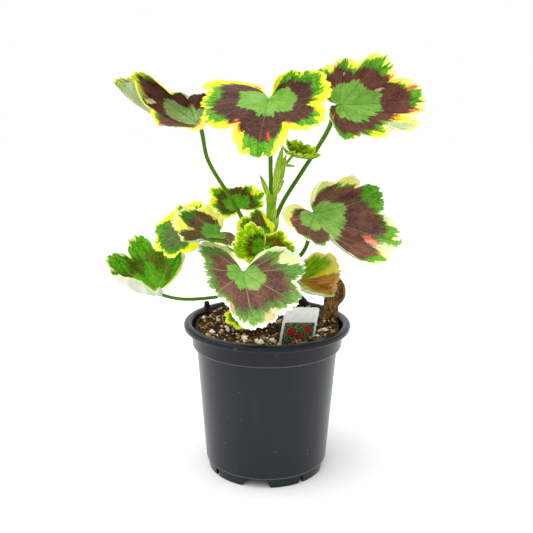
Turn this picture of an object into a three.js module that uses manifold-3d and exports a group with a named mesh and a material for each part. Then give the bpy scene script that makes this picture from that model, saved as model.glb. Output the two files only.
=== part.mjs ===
// A young zonal geranium with variegated leaves in a round black nursery pot, with its soil,
// a dead woody stump and a plain plant tag. Millimetres, +Z up, the viewer stands at -Y.
// Places are first given from a point at floor level by the pot's axis. At the end the whole
// plant is moved so that the origin is the centre of its bounding box at floor level.
import * as THREE from "three";
import { mergeVertices } from "three/addons/utils/BufferGeometryUtils.js";
import Module from "manifold-3d";

const wasm = await Module();
wasm.setup();

// Driving dimensions.
const CLEARANCE = 0.35;

const POT = {
  sides: 48,
  axisX: 1.4,
  height: 99.5,
  wall: 1.5,
  lipRadius: 54,
  lipDrop: 4.3,
  lipEdge: 0.5,
  collarRadius: 49.2,
  collarFoot: 84,
  collarStep: 0.8,
  bodyTopRadius: 45.8,
  bodyBottomRadius: 40.1,
  footRadius: 38.4,
  footWidth: 1.7,
  footHeight: 6.5,
  floor: 1.6,
  notchTurn: -9.5,
  notchBottomWidth: 19,
  notchTopWidth: 13.4,
  notchHeight: 5.8,
  slitWidth: 3.2,
  slitHeight: 4.6,
  drainSides: 14,
  drainRadius: 4.5,
  drainCircle: 26,
};

const SOIL = {
  sides: 36,
  rings: [38, 30, 21, 11, 0],
  front: 94,
  rise: 0.045,
  stumpMound: 4.2,
  moundSpread: 9,
  lump: 0.7,
};

const TAG = {
  width: 25,
  length: 52,
  point: 12,
  corner: 1.5,
  thickness: 0.8,
  top: [23, -28, 116],
  lean: 3,
  roll: 8.5,
  yaw: 29,
};

// The dead stump, from its root end up: centre and radius of each section.
const STUMP = {
  sides: 11,
  sections: [
    { at: [38, 6, 84], radius: 3.6 },
    { at: [40, 6, 95], radius: 4.8 },
    { at: [42, 6.5, 101], radius: 5.3 },
    { at: [43, 7, 107], radius: 5 },
    { at: [44.3, 8, 113.5], radius: 6 },
    { at: [46.6, 8, 119.5], radius: 5.7 },
    { at: [46.8, 8, 124.5], radius: 3.4 },
    { at: [45.4, 8, 127.6], radius: 1.3 },
  ],
};

// Blades. A leaf's own frame has its stalk's end at the origin, its middle vein along +X and
// its upper face towards +Z. Seven veins fan out from the stalk to seven lobes.
const BLADE_THICKNESS = 0.7;
const VEINS = [-132, -88, -44, 0, 44, 88, 132];
const SINUS = [-166, 166];
const SINUS_NOTCH = 0.5;
const LOBES = VEINS.length;
const LOBE_ROUNDNESS = 2.2;
const TOOTH_DEPTH = 0.065;
const PLEAT = 0.05;
const RING_REACHES = [1, 0.8, 0.55, 0.28];
const BIG_LEAF = { teeth: 5, inner: [35, 21, 14] };
const SMALL_LEAF = { teeth: 3, inner: [21, 14, 7] };

// at: the stalk's end. turn: the middle vein's heading and rise, then the roll about it.
// lobes: the vein lengths. notch: the margin's length between lobes as a share of its
// neighbours, from one side of the sinus round to the other. veins and sinus: the directions of
// the veins and of the sinus's two sides, where they aren't even. lift and curl: each vein's rise
// from the blade's plane at the stalk, and how far it bends further on its way to the margin.
const LEAVES = {
  leaf_crown_left: {
    size: BIG_LEAF,
    at: [-44, 4, 225],
    turn: [153, -22, -50],
    lobes: [23, 31, 50, 58, 55, 36, 28],
    notch: [0.5, 0.6, 0.85, 0.95, 0.96, 0.75, 0.95, 0.5],
    lift: [-40, 15, 30, 40, 38, 52, 26],
    curl: [120, 130, 70, 60, 90, -4, -8],
    stalk: {
      from: [1, 0, 142],
      via: [[-6, 2, 152], [-14, 4, 164], [-24, 8, 180], [-37, 9, 202]],
      radius: 1.3,
    },
  },
  leaf_crown_front: {
    size: BIG_LEAF,
    at: [1, -12, 240],
    turn: [-96, -20, -6],
    lobes: [55, 41, 46, 60, 45, 39, 27],
    notch: [0.45, 0.85, 0.85, 0.8, 0.8, 0.85, 1.1, 0.45],
    lift: [-5, -5, -5, -8, -5, -5, -12],
    curl: [-5, -10, -5, -5, 10, 40, 100],
    stalk: {
      from: [3.4, 0, 180],
      via: [[2.8, -2, 194], [2.6, -5, 209], [2.2, -8, 224]],
      radius: 1.35,
    },
  },
  leaf_crown_right: {
    size: BIG_LEAF,
    at: [47, 20, 236],
    turn: [35, -3, 71],
    lobes: [45, 47, 54, 60, 45, 30, 28],
    notch: [0.5, 0.8, 0.72, 0.72, 0.8, 0.8, 0.9, 0.5],
    lift: [20, 25, 28, 10, 8, -2, -12],
    curl: [25, 45, 40, 20, 35, 45, 35],
    stalk: {
      from: [2, 0, 150],
      via: [[9, 5, 172], [21.5, 10, 192.5], [31, 13, 207], [40, 18, 222]],
      radius: 1.4,
    },
  },
  leaf_right: {
    size: BIG_LEAF,
    at: [30, -16, 172],
    turn: [12, -36, 60],
    veins: [-136, -98, -42, 0, 44, 88, 132],
    lobes: [28, 45, 66, 56, 44, 41, 27],
    notch: [0.5, 0.95, 0.48, 0.9, 0.78, 0.75, 0.8, 0.5],
    lift: [0, 20, 30, 20, 16, 24, 0],
    curl: [20, 40, 35, 30, 45, 80, 100],
    stalk: {
      from: [0, 0, 128],
      via: [[12.5, 0, 136], [22, -2, 142.6], [26.5, -5, 152]],
      radius: 1.3,
    },
  },
  leaf_front: {
    size: BIG_LEAF,
    at: [-13, -42, 141],
    turn: [-77, -31, -2],
    veins: [-140, -96, -48, 0, 44, 84, 116],
    sinus: [-167, 140],
    lobes: [33, 24, 27, 41, 39, 37, 33],
    notch: [0.5, 1.01, 0.97, 0.95, 0.97, 0.85, 0.97, 0.46],
    lift: [0, 0, -6, -6, 0, 6, 4],
    curl: [6, 15, 20, 0, 5, 15, 10],
    stalk: {
      from: [-1, 0, 115],
      via: [[-4, -14, 119], [-9, -29, 127]],
      radius: 1.3,
    },
  },
  leaf_low_left: {
    size: BIG_LEAF,
    at: [-70, 2, 118],
    turn: [161, -9, -46],
    veins: [-112, -68, -26, 10, 50, 90, 132],
    lobes: [36, 40, 40, 38, 38, 26, 17],
    notch: [0.5, 0.72, 0.68, 0.85, 0.85, 0.92, 0.8, 0.5],
    lift: [5, 18, 14, 26, 36, 19, -20],
    curl: [35, 44, 46, 70, 73, 115, 140],
    stalk: {
      from: [-1, 0, 120],
      via: [[-16, 1, 118], [-32, 3, 113.5], [-55, 3, 112]],
      radius: 1.1,
    },
  },
  leaf_mid_left: {
    size: BIG_LEAF,
    at: [-29, -22, 161],
    turn: [150, -30, -42],
    lobes: [14, 20, 27, 29, 24, 20, 17],
    notch: [0.5, 0.8, 0.85, 1, 0.9, 0.96, 0.92, 0.45],
    lift: [-14, 6, 34, 32, 22, 19, -12],
    curl: [100, 75, 65, 45, 40, 41, -10],
    stalk: {
      from: [0, 0, 124],
      via: [[-9, 0, 137], [-19, -7, 150]],
      radius: 1.1,
    },
  },
  leaf_behind_left: {
    size: SMALL_LEAF,
    at: [-49, -4, 160],
    turn: [179, -34, -33],
    lobes: [21, 23, 26, 25, 24, 24, 21],
    notch: 0.85,
    lift: 0,
    curl: 8,
    stalk: {
      from: [0, 0, 127],
      via: [[-12, 4, 138], [-30, 4, 149]],
      radius: 1,
    },
  },
  leaf_back_left: {
    size: SMALL_LEAF,
    at: [-18, 24, 169],
    turn: [97, 6, -7],
    lobes: [20, 20, 20, 21, 26, 20, 18],
    notch: 0.85,
    lift: [0, 8, 14, 12, 16, 6, -6],
    curl: [10, 30, 45, 30, 25, 15, -5],
    stalk: {
      from: [1, 0, 138],
      via: [[-6, 8, 149], [-13, 18, 158]],
      radius: 1,
    },
  },
  leaf_young_front: {
    size: SMALL_LEAF,
    at: [-2, -20, 151.7],
    turn: [134, -14, -78],
    lobes: [16, 18, 19, 19, 19, 15, 7],
    notch: 0.84,
    lift: [14, 14, 24, 16, 30, 22, 10],
    curl: [35, 35, 50, 40, 60, 45, 25],
    stalk: {
      from: [-1.5, -9, 136],
      via: [[-4.5, -19, 144]],
      radius: 0.9,
    },
  },
  leaf_young_back: {
    size: SMALL_LEAF,
    at: [-1, -8, 155],
    turn: [139, 71, -50],
    lobes: [5, 7, 12, 19, 20, 16, 9],
    notch: 0.86,
    lift: [0, 5, 8, 4, -8, -2, -2],
    curl: [10, 20, 25, 20, 5, 10, 15],
    stalk: {
      from: [1.5, 0, 143],
      via: [[1.5, -4, 149]],
      radius: 0.9,
    },
  },
  leaf_young_right: {
    size: SMALL_LEAF,
    at: [0.5, -13, 150],
    turn: [-7, -1, 81],
    lobes: [5, 7, 13, 19, 15, 9, 5],
    notch: 0.86,
    lift: [2, 4, 8, 2, -2, -4, 0],
    curl: [10, 20, 25, 20, 15, 10, 5],
    stalk: {
      from: [-1.5, -9, 136],
      via: [[0, -8.5, 143]],
      radius: 0.9,
    },
  },
  leaf_young_top: {
    size: SMALL_LEAF,
    at: [17, 2, 206],
    turn: [7, -36, 22],
    lobes: [13, 15, 15, 17, 16, 14, 12],
    notch: 0.86,
    lift: [-10, 4, 10, 8, 8, -2, -10],
    curl: [40, 55, 65, 55, 55, 50, 45],
    stalk: {
      from: [4, 0, 180],
      via: [[7, 0, 187], [10, 1, 196]],
      radius: 1,
    },
  },
  leaf_withering: {
    size: SMALL_LEAF,
    at: [22, -8, 128],
    turn: [27, -19, 64],
    lobes: [24, 25, 28, 32, 28, 25, 20],
    notch: 0.87,
    lift: [16, 20, 18, 32, 8, 14, 8],
    curl: [65, 75, 65, 75, 50, 75, 90],
    stalk: {
      from: [-0.5, 0, 117],
      via: [[8, -0.5, 121], [15, -2, 124]],
      radius: 0.9,
    },
  },
  leaf_at_soil: {
    size: SMALL_LEAF,
    at: [-16, -14, 105],
    turn: [-94, -20, -19],
    lobes: [9, 10, 11, 11, 11, 10, 9],
    notch: 0.86,
    lift: 0,
    curl: -10,
    stalk: {
      from: [-1.5, 0, 106],
      via: [[-8, -5, 103], [-14, -9.5, 101]],
      radius: 0.8,
    },
  },
};

// The main stem, from its root end to the topmost node, and the short side shoot.
const STEM = {
  sides: 10,
  swellingSides: 10,
  radius: 3.1,
  path: [[-2, 0, 82], [-1.5, 0, 112], [0.5, 0, 140], [3, 0, 162], [3.6, 0, 182]],
  nodeRadius: 3.8,
  nodeAt: [3.6, 0, 180],
  shootRadius: 1.9,
  shoot: [[0, 0, 122], [-1, -7, 132], [-1.5, -11, 139]],
};
const STALK_SIDES = 6;
const STALK_STEP = 9;
const STALK_APPROACH = 5;
const STEEPEST_DROOP = 30;

// Pointed scales at the nodes and the bud's sheath, each from its base to its tip.
const SCALES = [
  { base: [2, -1.5, 179], tip: [-3.8, -3, 194], width: 3 },
  { base: [5, -1.5, 180], tip: [11.5, -3, 191], width: 3 },
  { base: [4, -2, 163], tip: [6.5, -4, 176], width: 2.6 },
  { base: [12, 2, 199], tip: [18.5, -1, 199], width: 1.6 },
  { base: [6, 0, 182], tip: [12.5, -1.5, 207], width: 5 },
  { base: [6, 0, 184], tip: [8.4, -1, 212], width: 5.4 },
  { base: [-0.5, -2, 128], tip: [5.5, -5, 137], width: 2.6 },
];
const SCALE_SIDES = 6;
const SCALE_FLATNESS = 0.5;

const vector = (coordinates) => new THREE.Vector3(...coordinates);
const radians = THREE.MathUtils.degToRad;

function solidOf(geometry) {
  const bare = geometry.clone();
  bare.deleteAttribute("normal");
  bare.deleteAttribute("uv");
  const merged = mergeVertices(bare, 1e-4);
  return new wasm.Manifold(
    new wasm.Mesh({
      numProp: 3,
      vertProperties: merged.attributes.position.array,
      triVerts: new Uint32Array(merged.index.array),
    }),
  );
}

function geometryOf(solid) {
  const mesh = solid.getMesh();
  const geometry = new THREE.BufferGeometry();
  geometry.setAttribute("position", new THREE.BufferAttribute(mesh.vertProperties, 3));
  geometry.setIndex(new THREE.BufferAttribute(mesh.triVerts, 1));
  geometry.computeVertexNormals();
  return geometry;
}

function lathe(profile, sides) {
  const points = profile.map(([radius, z]) => new THREE.Vector2(radius, z));
  return new THREE.LatheGeometry(points, sides).rotateX(Math.PI / 2);
}

// A round bar along a smooth path.
function bar(path, radius, sides) {
  const curve = new THREE.CatmullRomCurve3(path.map(vector), false, "centripetal");
  const section = new THREE.Shape();
  for (let i = 0; i < sides; i++) {
    const angle = (2 * Math.PI * i) / sides;
    const corner = [radius * Math.cos(angle), radius * Math.sin(angle)];
    if (i) section.lineTo(...corner);
    else section.moveTo(...corner);
  }
  const steps = Math.max(2, Math.round(curve.getLength() / STALK_STEP));
  return new THREE.ExtrudeGeometry(section, { steps, bevelEnabled: false, extrudePath: curve });
}

function potGeometry() {
  const { height, wall, lipRadius, lipEdge, collarRadius, collarStep, footRadius, footHeight } = POT;
  const floorTop = footHeight + POT.floor;
  const footInside = footRadius - POT.footWidth;
  const collarFoot = POT.collarFoot;
  const collarFootRadius = collarRadius - lipEdge;
  const lipBottom = height - POT.lipDrop;
  const profile = [
    [0, footHeight],
    [footInside, footHeight],
    [footInside, 0],
    [footRadius, 0],
    [footRadius + lipEdge, footHeight - lipEdge],
    [POT.bodyBottomRadius, footHeight],
    [POT.bodyTopRadius, collarFoot - collarStep / 2],
    [collarFootRadius, collarFoot + collarStep / 2],
    [collarRadius, lipBottom],
    [lipRadius - lipEdge, lipBottom],
    [lipRadius, lipBottom + lipEdge],
    [lipRadius, height - 2 * lipEdge],
    [lipRadius - 2 * lipEdge, height],
    [collarRadius + 2 * lipEdge, height],
    [collarRadius, height - 2 * lipEdge],
    [collarRadius - wall, lipBottom - 2 * lipEdge],
    [collarFootRadius - wall, collarFoot + collarStep],
    [POT.bodyTopRadius - wall, collarFoot - collarStep],
    [POT.bodyBottomRadius - wall, floorTop],
    [0, floorTop],
  ];
  let pot = solidOf(lathe(profile, POT.sides));

  // Cutters for the notches and slits of the foot, each standing through its ring.
  const depth = 14;
  const cutter = (bottomWidth, topWidth, top, turn) => {
    const shape = new THREE.Shape([
      new THREE.Vector2(-bottomWidth / 2, -CLEARANCE),
      new THREE.Vector2(bottomWidth / 2, -CLEARANCE),
      new THREE.Vector2(topWidth / 2, top),
      new THREE.Vector2(-topWidth / 2, top),
    ]);
    const block = new THREE.ExtrudeGeometry(shape, { depth, bevelEnabled: false });
    return block.rotateX(Math.PI / 2).translate(0, -footRadius + depth / 2, 0).rotateZ(turn);
  };
  for (let quarter = 0; quarter < 4; quarter++) {
    const turn = radians(POT.notchTurn + 90 * quarter);
    const notch = cutter(POT.notchBottomWidth, POT.notchTopWidth, POT.notchHeight, turn);
    const slit = cutter(POT.slitWidth, POT.slitWidth, POT.slitHeight, turn + Math.PI / 4);
    const drain = new THREE.CylinderGeometry(POT.drainRadius, POT.drainRadius, depth, POT.drainSides)
      .rotateX(Math.PI / 2)
      .translate(0, -POT.drainCircle, footHeight)
      .rotateZ(turn);
    pot = pot.subtract(solidOf(notch)).subtract(solidOf(slit)).subtract(solidOf(drain));
  }
  return geometryOf(pot).translate(POT.axisX, 0, 0);
}

// The soil's height, lowest at the front, heaped round the stump and lumpy all over.
function soilHeight(x, y) {
  const [stumpX, stumpY] = STUMP.sections[1].at;
  const away = Math.hypot(x - stumpX, y - stumpY) / SOIL.moundSpread;
  const lumps = Math.sin(x / 5 + 1.3) * Math.cos(y / 4.3) + 0.6 * Math.sin((x + y) / 3.1);
  return (
    SOIL.front +
    SOIL.rise * (y + POT.collarRadius) +
    SOIL.stumpMound * Math.exp(-away * away) +
    SOIL.lump * lumps
  );
}

// The soil fills the pot up to its collar, a clearance away from the walls and the floor.
function soilGeometry() {
  const gap = POT.wall + 2 * CLEARANCE;
  const bottom = POT.footHeight + POT.floor + CLEARANCE;
  const edge = POT.collarRadius - POT.lipEdge - gap;
  const top = POT.height;
  const profile = [
    [0, bottom],
    [POT.bodyBottomRadius - gap, bottom],
    [POT.bodyTopRadius - gap, POT.collarFoot - 1.5 * POT.collarStep],
    [edge, POT.collarFoot + 2 * POT.collarStep],
    [edge, top],
    ...SOIL.rings.map((radius) => [radius, top]),
  ];
  const geometry = lathe(profile, SOIL.sides).translate(POT.axisX, 0, 0);
  const position = geometry.attributes.position;
  for (let i = 0; i < position.count; i++)
    if (Math.abs(position.getZ(i) - top) < 0.01)
      position.setZ(i, soilHeight(position.getX(i), position.getY(i)));
  const stemHole = bar(STEM.path, STEM.radius + CLEARANCE, STEM.sides).translate(0, 0, -CLEARANCE);
  return geometryOf(
    solidOf(geometry)
      .subtract(solidOf(stemHole))
      .subtract(solidOf(stumpGeometry(CLEARANCE)))
      .subtract(solidOf(placeTag(tagGeometry(CLEARANCE)))),
  );
}

// A knotty closed body through the stump's sections, each grown by margin.
function stumpGeometry(margin) {
  const { sides, sections } = STUMP;
  const vertices = [];
  const triangles = [];
  sections.forEach(({ at, radius }, level) => {
    const end = level === 0 ? -margin : 0;
    for (let side = 0; side < sides; side++) {
      const angle = (2 * Math.PI * side) / sides;
      const ridges = 0.12 * Math.sin(3 * angle + 0.6 * level);
      const furrows = 0.06 * Math.cos(5 * angle + 1.7 * level);
      const reach = radius * (1 + ridges + furrows) + margin;
      vertices.push(at[0] + reach * Math.cos(angle), at[1] + reach * Math.sin(angle), at[2] + end);
    }
  });
  for (let level = 0; level + 1 < sections.length; level++)
    for (let side = 0; side < sides; side++) {
      const a = level * sides + side;
      const b = level * sides + ((side + 1) % sides);
      triangles.push(a, b, b + sides, a, b + sides, a + sides);
    }
  const last = (sections.length - 1) * sides;
  for (let side = 1; side + 1 < sides; side++) {
    triangles.push(0, side + 1, side);
    triangles.push(last, last + side, last + side + 1);
  }
  return indexed(vertices, triangles);
}

function indexed(vertices, triangles) {
  const geometry = new THREE.BufferGeometry();
  geometry.setAttribute("position", new THREE.Float32BufferAttribute(vertices, 3));
  geometry.setIndex(triangles);
  geometry.computeVertexNormals();
  return geometry;
}

// A flat stake with its top edge at z = 0 and its printed face towards -Y.
function tagGeometry(margin) {
  const half = TAG.width / 2 + margin;
  const shoulder = TAG.point - TAG.length;
  const shape = new THREE.Shape();
  shape.moveTo(0, -TAG.length - margin);
  shape.lineTo(half, shoulder);
  shape.lineTo(half, -TAG.corner);
  shape.absarc(half - TAG.corner, -TAG.corner, TAG.corner, 0, Math.PI / 2);
  shape.absarc(TAG.corner - half, -TAG.corner, TAG.corner, Math.PI / 2, Math.PI);
  shape.lineTo(-half, shoulder);
  const depth = TAG.thickness + 2 * margin;
  const plate = new THREE.ExtrudeGeometry(shape, { depth, bevelEnabled: false, curveSegments: 3 });
  return plate.rotateX(Math.PI / 2).translate(0, depth / 2, 0);
}

function placeTag(geometry) {
  const turn = new THREE.Euler(radians(TAG.lean), radians(TAG.roll), radians(TAG.yaw), "ZXY");
  const place = new THREE.Matrix4().makeRotationFromEuler(turn).setPosition(...TAG.top);
  return geometry.applyMatrix4(place);
}

// One value for each lobe, from a list or from one number for all.
function perLobe(value) {
  return Array.isArray(value) ? value : new Array(LOBES).fill(value);
}

function notchesOf(leaf) {
  if (Array.isArray(leaf.notch)) return leaf.notch;
  const notches = new Array(LOBES + 1).fill(leaf.notch);
  notches[0] = SINUS_NOTCH;
  notches[LOBES] = SINUS_NOTCH;
  return notches;
}

function veinsOf(leaf) {
  return leaf.veins ?? VEINS;
}

// The directions where one lobe ends and the next begins.
function lobeEdgesOf(leaf) {
  const veins = veinsOf(leaf);
  const [first, last] = leaf.sinus ?? SINUS;
  return [first, ...veins.slice(1).map((vein, i) => (vein + veins[i]) / 2), last];
}

// The direction at a share of the way round the margin, in degrees, and the lobe it is in.
function directionAt(leaf, share) {
  const edges = lobeEdgesOf(leaf);
  const walked = share * LOBES;
  const lobe = Math.min(LOBES - 1, Math.floor(walked));
  return { lobe, angle: edges[lobe] + (edges[lobe + 1] - edges[lobe]) * (walked - lobe) };
}

// The veins' values blended smoothly between neighbouring veins.
function betweenVeins(leaf, values, angle) {
  const veins = veinsOf(leaf);
  let vein = 0;
  while (vein < LOBES - 2 && angle > veins[vein + 1]) vein++;
  const share = THREE.MathUtils.smoothstep(angle, veins[vein], veins[vein + 1]);
  return values[vein] * (1 - share) + values[vein + 1] * share;
}

function marginLength(leaf, { lobe, angle }) {
  const vein = veinsOf(leaf)[lobe];
  const before = angle < vein;
  const neighbour = Math.min(LOBES - 1, Math.max(0, lobe + (before ? -1 : 1)));
  const notch = notchesOf(leaf)[before ? lobe : lobe + 1];
  const low = (notch * (leaf.lobes[lobe] + leaf.lobes[neighbour])) / 2;
  const edge = lobeEdgesOf(leaf)[before ? lobe : lobe + 1];
  const share = Math.abs((angle - vein) / (edge - vein));
  return leaf.lobes[lobe] + (low - leaf.lobes[lobe]) * share ** LOBE_ROUNDNESS;
}

// A point of the blade's middle surface in the leaf's own frame. Reach is 0 at the stalk and
// 1 at the margin, and the veins bend as circular arcs.
function bladePoint(leaf, reach, direction, toothDepth) {
  const length = reach * marginLength(leaf, direction) * (1 - toothDepth);
  const angle = direction.angle;
  const bend = radians(betweenVeins(leaf, perLobe(leaf.curl), angle)) * reach;
  const start = radians(betweenVeins(leaf, perLobe(leaf.lift), angle));
  const chord = Math.abs(bend) < 1e-6 ? length : (length * Math.sin(bend / 2)) / (bend / 2);
  const mean = leaf.lobes.reduce((sum, lobe) => sum + lobe, 0) / LOBES;
  const between = Math.sin(Math.PI * betweenVeins(leaf, [0, 1, 2, 3, 4, 5, 6], angle)) ** 2;
  const pleat = PLEAT * mean * reach ** 1.5 * between;
  const out = chord * Math.cos(start + bend / 2);
  const heading = radians(angle);
  return new THREE.Vector3(
    out * Math.cos(heading),
    out * Math.sin(heading),
    chord * Math.sin(start + bend / 2) + pleat,
  );
}

function bladeNormal(leaf, reach, share) {
  const step = 0.004;
  const low = Math.max(0, share - step);
  const high = Math.min(1, share + step);
  const out = bladePoint(leaf, reach, directionAt(leaf, share), 0)
    .sub(bladePoint(leaf, reach - 0.05, directionAt(leaf, share), 0));
  const round = bladePoint(leaf, reach, directionAt(leaf, high), 0)
    .sub(bladePoint(leaf, reach, directionAt(leaf, low), 0));
  return out.cross(round).normalize();
}

// Triangles between two rings of points that start and end together.
function stitch(outer, inner, triangles) {
  let i = 0;
  let j = 0;
  const outerSteps = outer.length - 1;
  const innerSteps = inner.length - 1;
  while (i < outerSteps || j < innerSteps) {
    const outerNext = (i + 1) / outerSteps;
    const innerNext = (j + 1) / innerSteps;
    if (j === innerSteps || (i < outerSteps && outerNext <= innerNext + 1e-9)) {
      triangles.push(inner[j], outer[i], outer[i + 1]);
      i++;
    } else {
      triangles.push(inner[j], outer[i], inner[j + 1]);
      j++;
    }
  }
}

function bladeGeometry(leaf) {
  const { teeth, inner } = leaf.size;
  const counts = [2 * teeth * LOBES, ...inner];
  const points = [];
  const normals = [];
  const rings = counts.map((count, level) => {
    const reach = RING_REACHES[level];
    const ring = [];
    for (let step = 0; step <= count; step++) {
      const share = step / count;
      const inNotch = level === 0 && step % 2 === 0;
      ring.push(points.length);
      points.push(bladePoint(leaf, reach, directionAt(leaf, share), inNotch ? TOOTH_DEPTH : 0));
      normals.push(bladeNormal(leaf, reach, share));
    }
    return ring;
  });
  const centre = points.length;
  points.push(new THREE.Vector3());
  normals.push(new THREE.Vector3(0, 0, 1));

  const upper = [];
  for (let level = 1; level < rings.length; level++) stitch(rings[level - 1], rings[level], upper);
  const last = rings[rings.length - 1];
  for (let step = 0; step + 1 < last.length; step++) upper.push(centre, last[step], last[step + 1]);

  const border = [
    ...rings[0],
    ...rings.slice(1).map((ring) => ring[ring.length - 1]),
    centre,
    ...rings.slice(1).map((ring) => ring[0]).reverse(),
  ];
  const total = points.length;
  const triangles = [...upper];
  for (let i = 0; i < upper.length; i += 3)
    triangles.push(upper[i] + total, upper[i + 2] + total, upper[i + 1] + total);
  border.forEach((from, i) => {
    const to = border[(i + 1) % border.length];
    triangles.push(from, from + total, to + total, from, to + total, to);
  });
  const vertices = [];
  for (const side of [1, -1])
    points.forEach((point, i) => {
      vertices.push(...point.clone().addScaledVector(normals[i], (side * BLADE_THICKNESS) / 2));
    });
  return indexed(vertices, triangles);
}

function leafTurn(leaf) {
  const [heading, rise, roll] = leaf.turn.map(radians);
  return new THREE.Euler(roll, -rise, heading, "ZYX");
}

// The stalk meets the blade square from below and stops just short of it.
function stalkGeometry(leaf) {
  const { from, via, radius } = leaf.stalk;
  const up = new THREE.Vector3(0, 0, 1).applyEuler(leafTurn(leaf));
  const droop = Math.max(0, ...perLobe(leaf.lift).map((lift) => -lift));
  const room = radius * Math.tan(radians(Math.min(droop, STEEPEST_DROOP)));
  const stop = BLADE_THICKNESS / 2 + CLEARANCE + room;
  const end = vector(leaf.at).addScaledVector(up, -stop);
  const approach = vector(leaf.at).addScaledVector(up, -STALK_APPROACH);
  return bar([from, ...via, approach.toArray(), end.toArray()], radius, STALK_SIDES);
}

function scaleGeometry({ base, tip, width }) {
  const along = vector(tip).sub(vector(base));
  const length = along.length();
  const turn = new THREE.Quaternion().setFromUnitVectors(new THREE.Vector3(0, 1, 0), along.normalize());
  return new THREE.ConeGeometry(width / 2, length, SCALE_SIDES)
    .scale(1, 1, SCALE_FLATNESS)
    .translate(0, length / 2, 0)
    .applyQuaternion(turn)
    .translate(...base);
}

function stemGeometry() {
  let stem = solidOf(bar(STEM.path, STEM.radius, STEM.sides));
  const { nodeRadius, swellingSides } = STEM;
  const swelling = new THREE.SphereGeometry(nodeRadius, swellingSides, swellingSides / 2 + 1)
    .rotateX(Math.PI / 2);
  const pieces = [
    swelling.translate(...STEM.nodeAt),
    bar(STEM.shoot, STEM.shootRadius, STALK_SIDES + 1),
    ...SCALES.map(scaleGeometry),
    ...Object.values(LEAVES).map(stalkGeometry),
  ];
  for (const piece of pieces) stem = stem.add(solidOf(piece));
  return geometryOf(stem);
}

function material(color, roughness) {
  return new THREE.MeshStandardMaterial({ color, roughness, metalness: 0, flatShading: true });
}

function piece(name, geometry, look) {
  const mesh = new THREE.Mesh(geometry, look);
  mesh.name = name;
  return mesh;
}

const plant = new THREE.Group();
plant.add(piece("pot", potGeometry(), material(0x1a1d20, 0.45)));
plant.add(piece("soil", soilGeometry(), material(0x2e1c14, 0.95)));
plant.add(piece("stem", stemGeometry(), material(0x4f8a2a, 0.55)));
plant.add(piece("dead_stump", stumpGeometry(0), material(0x3f2a18, 0.9)));
plant.add(piece("plant_tag", placeTag(tagGeometry(0)), material(0xe8e8e4, 0.35)));
for (const [name, leaf] of Object.entries(LEAVES)) {
  const blade = piece(name, bladeGeometry(leaf), material(0x6f9a35, 0.6));
  blade.position.set(...leaf.at);
  blade.rotation.copy(leafTurn(leaf));
  plant.add(blade);
}

const middle = new THREE.Box3().setFromObject(plant, true).getCenter(new THREE.Vector3());
plant.position.set(-middle.x, -middle.y, 0);

export default plant;
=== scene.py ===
"""Looks of a young variegated geranium in a black nursery pot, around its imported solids."""

import math

import bpy
import numpy as np
from mathutils import Matrix, Vector, noise


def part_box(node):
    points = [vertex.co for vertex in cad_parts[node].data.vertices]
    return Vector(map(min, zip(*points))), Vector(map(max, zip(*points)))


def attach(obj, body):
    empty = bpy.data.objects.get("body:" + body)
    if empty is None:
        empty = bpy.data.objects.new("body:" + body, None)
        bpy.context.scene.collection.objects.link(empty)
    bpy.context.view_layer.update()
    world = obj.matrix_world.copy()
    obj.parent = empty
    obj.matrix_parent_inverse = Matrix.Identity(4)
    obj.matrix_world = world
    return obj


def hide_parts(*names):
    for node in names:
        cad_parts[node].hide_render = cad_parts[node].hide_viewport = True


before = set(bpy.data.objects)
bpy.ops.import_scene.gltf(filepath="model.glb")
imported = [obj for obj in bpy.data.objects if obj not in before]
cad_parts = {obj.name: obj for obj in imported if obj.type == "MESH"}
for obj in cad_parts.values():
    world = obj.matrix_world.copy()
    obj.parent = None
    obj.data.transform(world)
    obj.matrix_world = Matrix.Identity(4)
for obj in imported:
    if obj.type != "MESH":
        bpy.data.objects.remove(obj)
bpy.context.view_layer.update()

# Sizes in millimetres, from a point at floor level by the pot's axis, as in the part.
MM = 0.001
POT_AXIS_X = 1.4
POT_HEIGHT = 99.5
POT_WALL = 1.5
LIP_RADIUS = 54.0
LIP_BOTTOM = 95.2
COLLAR_RADIUS = 49.2
COLLAR_FOOT = 84.0
BODY_TOP_RADIUS = 45.8
BODY_BOTTOM_RADIUS = 40.1
FOOT_RADIUS = 38.4
FOOT_WIDTH = 1.7
FOOT_HEIGHT = 6.5
FLOOR_TOP = 8.1
NOTCH_TURN = -9.5

# Cuts in the pot's foot ring: width at the bottom, width at the top, height. Then the drain holes.
NOTCH = (19.6, 13.4, 5.8)
SLIT = (3.2, 3.2, 4.6)
CUTTER_HALF_DEPTH = 6.0
CUTTER_FOOT = -1.0
DRAIN_RADIUS = 4.5
DRAIN_CIRCLE = 26.0
DRAIN_SIDES = 24
POT_SIDES = 160
CORNER_STEPS = 4

pot_low, pot_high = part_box("pot")
SHIFT = np.array([(pot_low.x + pot_high.x) / 2 - POT_AXIS_X * MM, (pot_low.y + pot_high.y) / 2, 0.0])


def paint(red, green, blue):
    """A colour given as it looks on a screen, 0 to 255, as the renderer's linear colour."""
    shares = [level / 255 for level in (red, green, blue)]
    linear = [s / 12.92 if s <= 0.04045 else ((s + 0.055) / 1.055) ** 2.4 for s in shares]
    return (*linear, 1.0)


def maths(operation, swapped=False):
    """A method of Tone that adds one Math node for the value and what it meets."""

    def method(tone, *others):
        terms = (*others, tone) if swapped else (tone, *others)
        return tone.look.node("ShaderNodeMath", {"operation": operation}, dict(enumerate(terms)))

    return method


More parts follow.
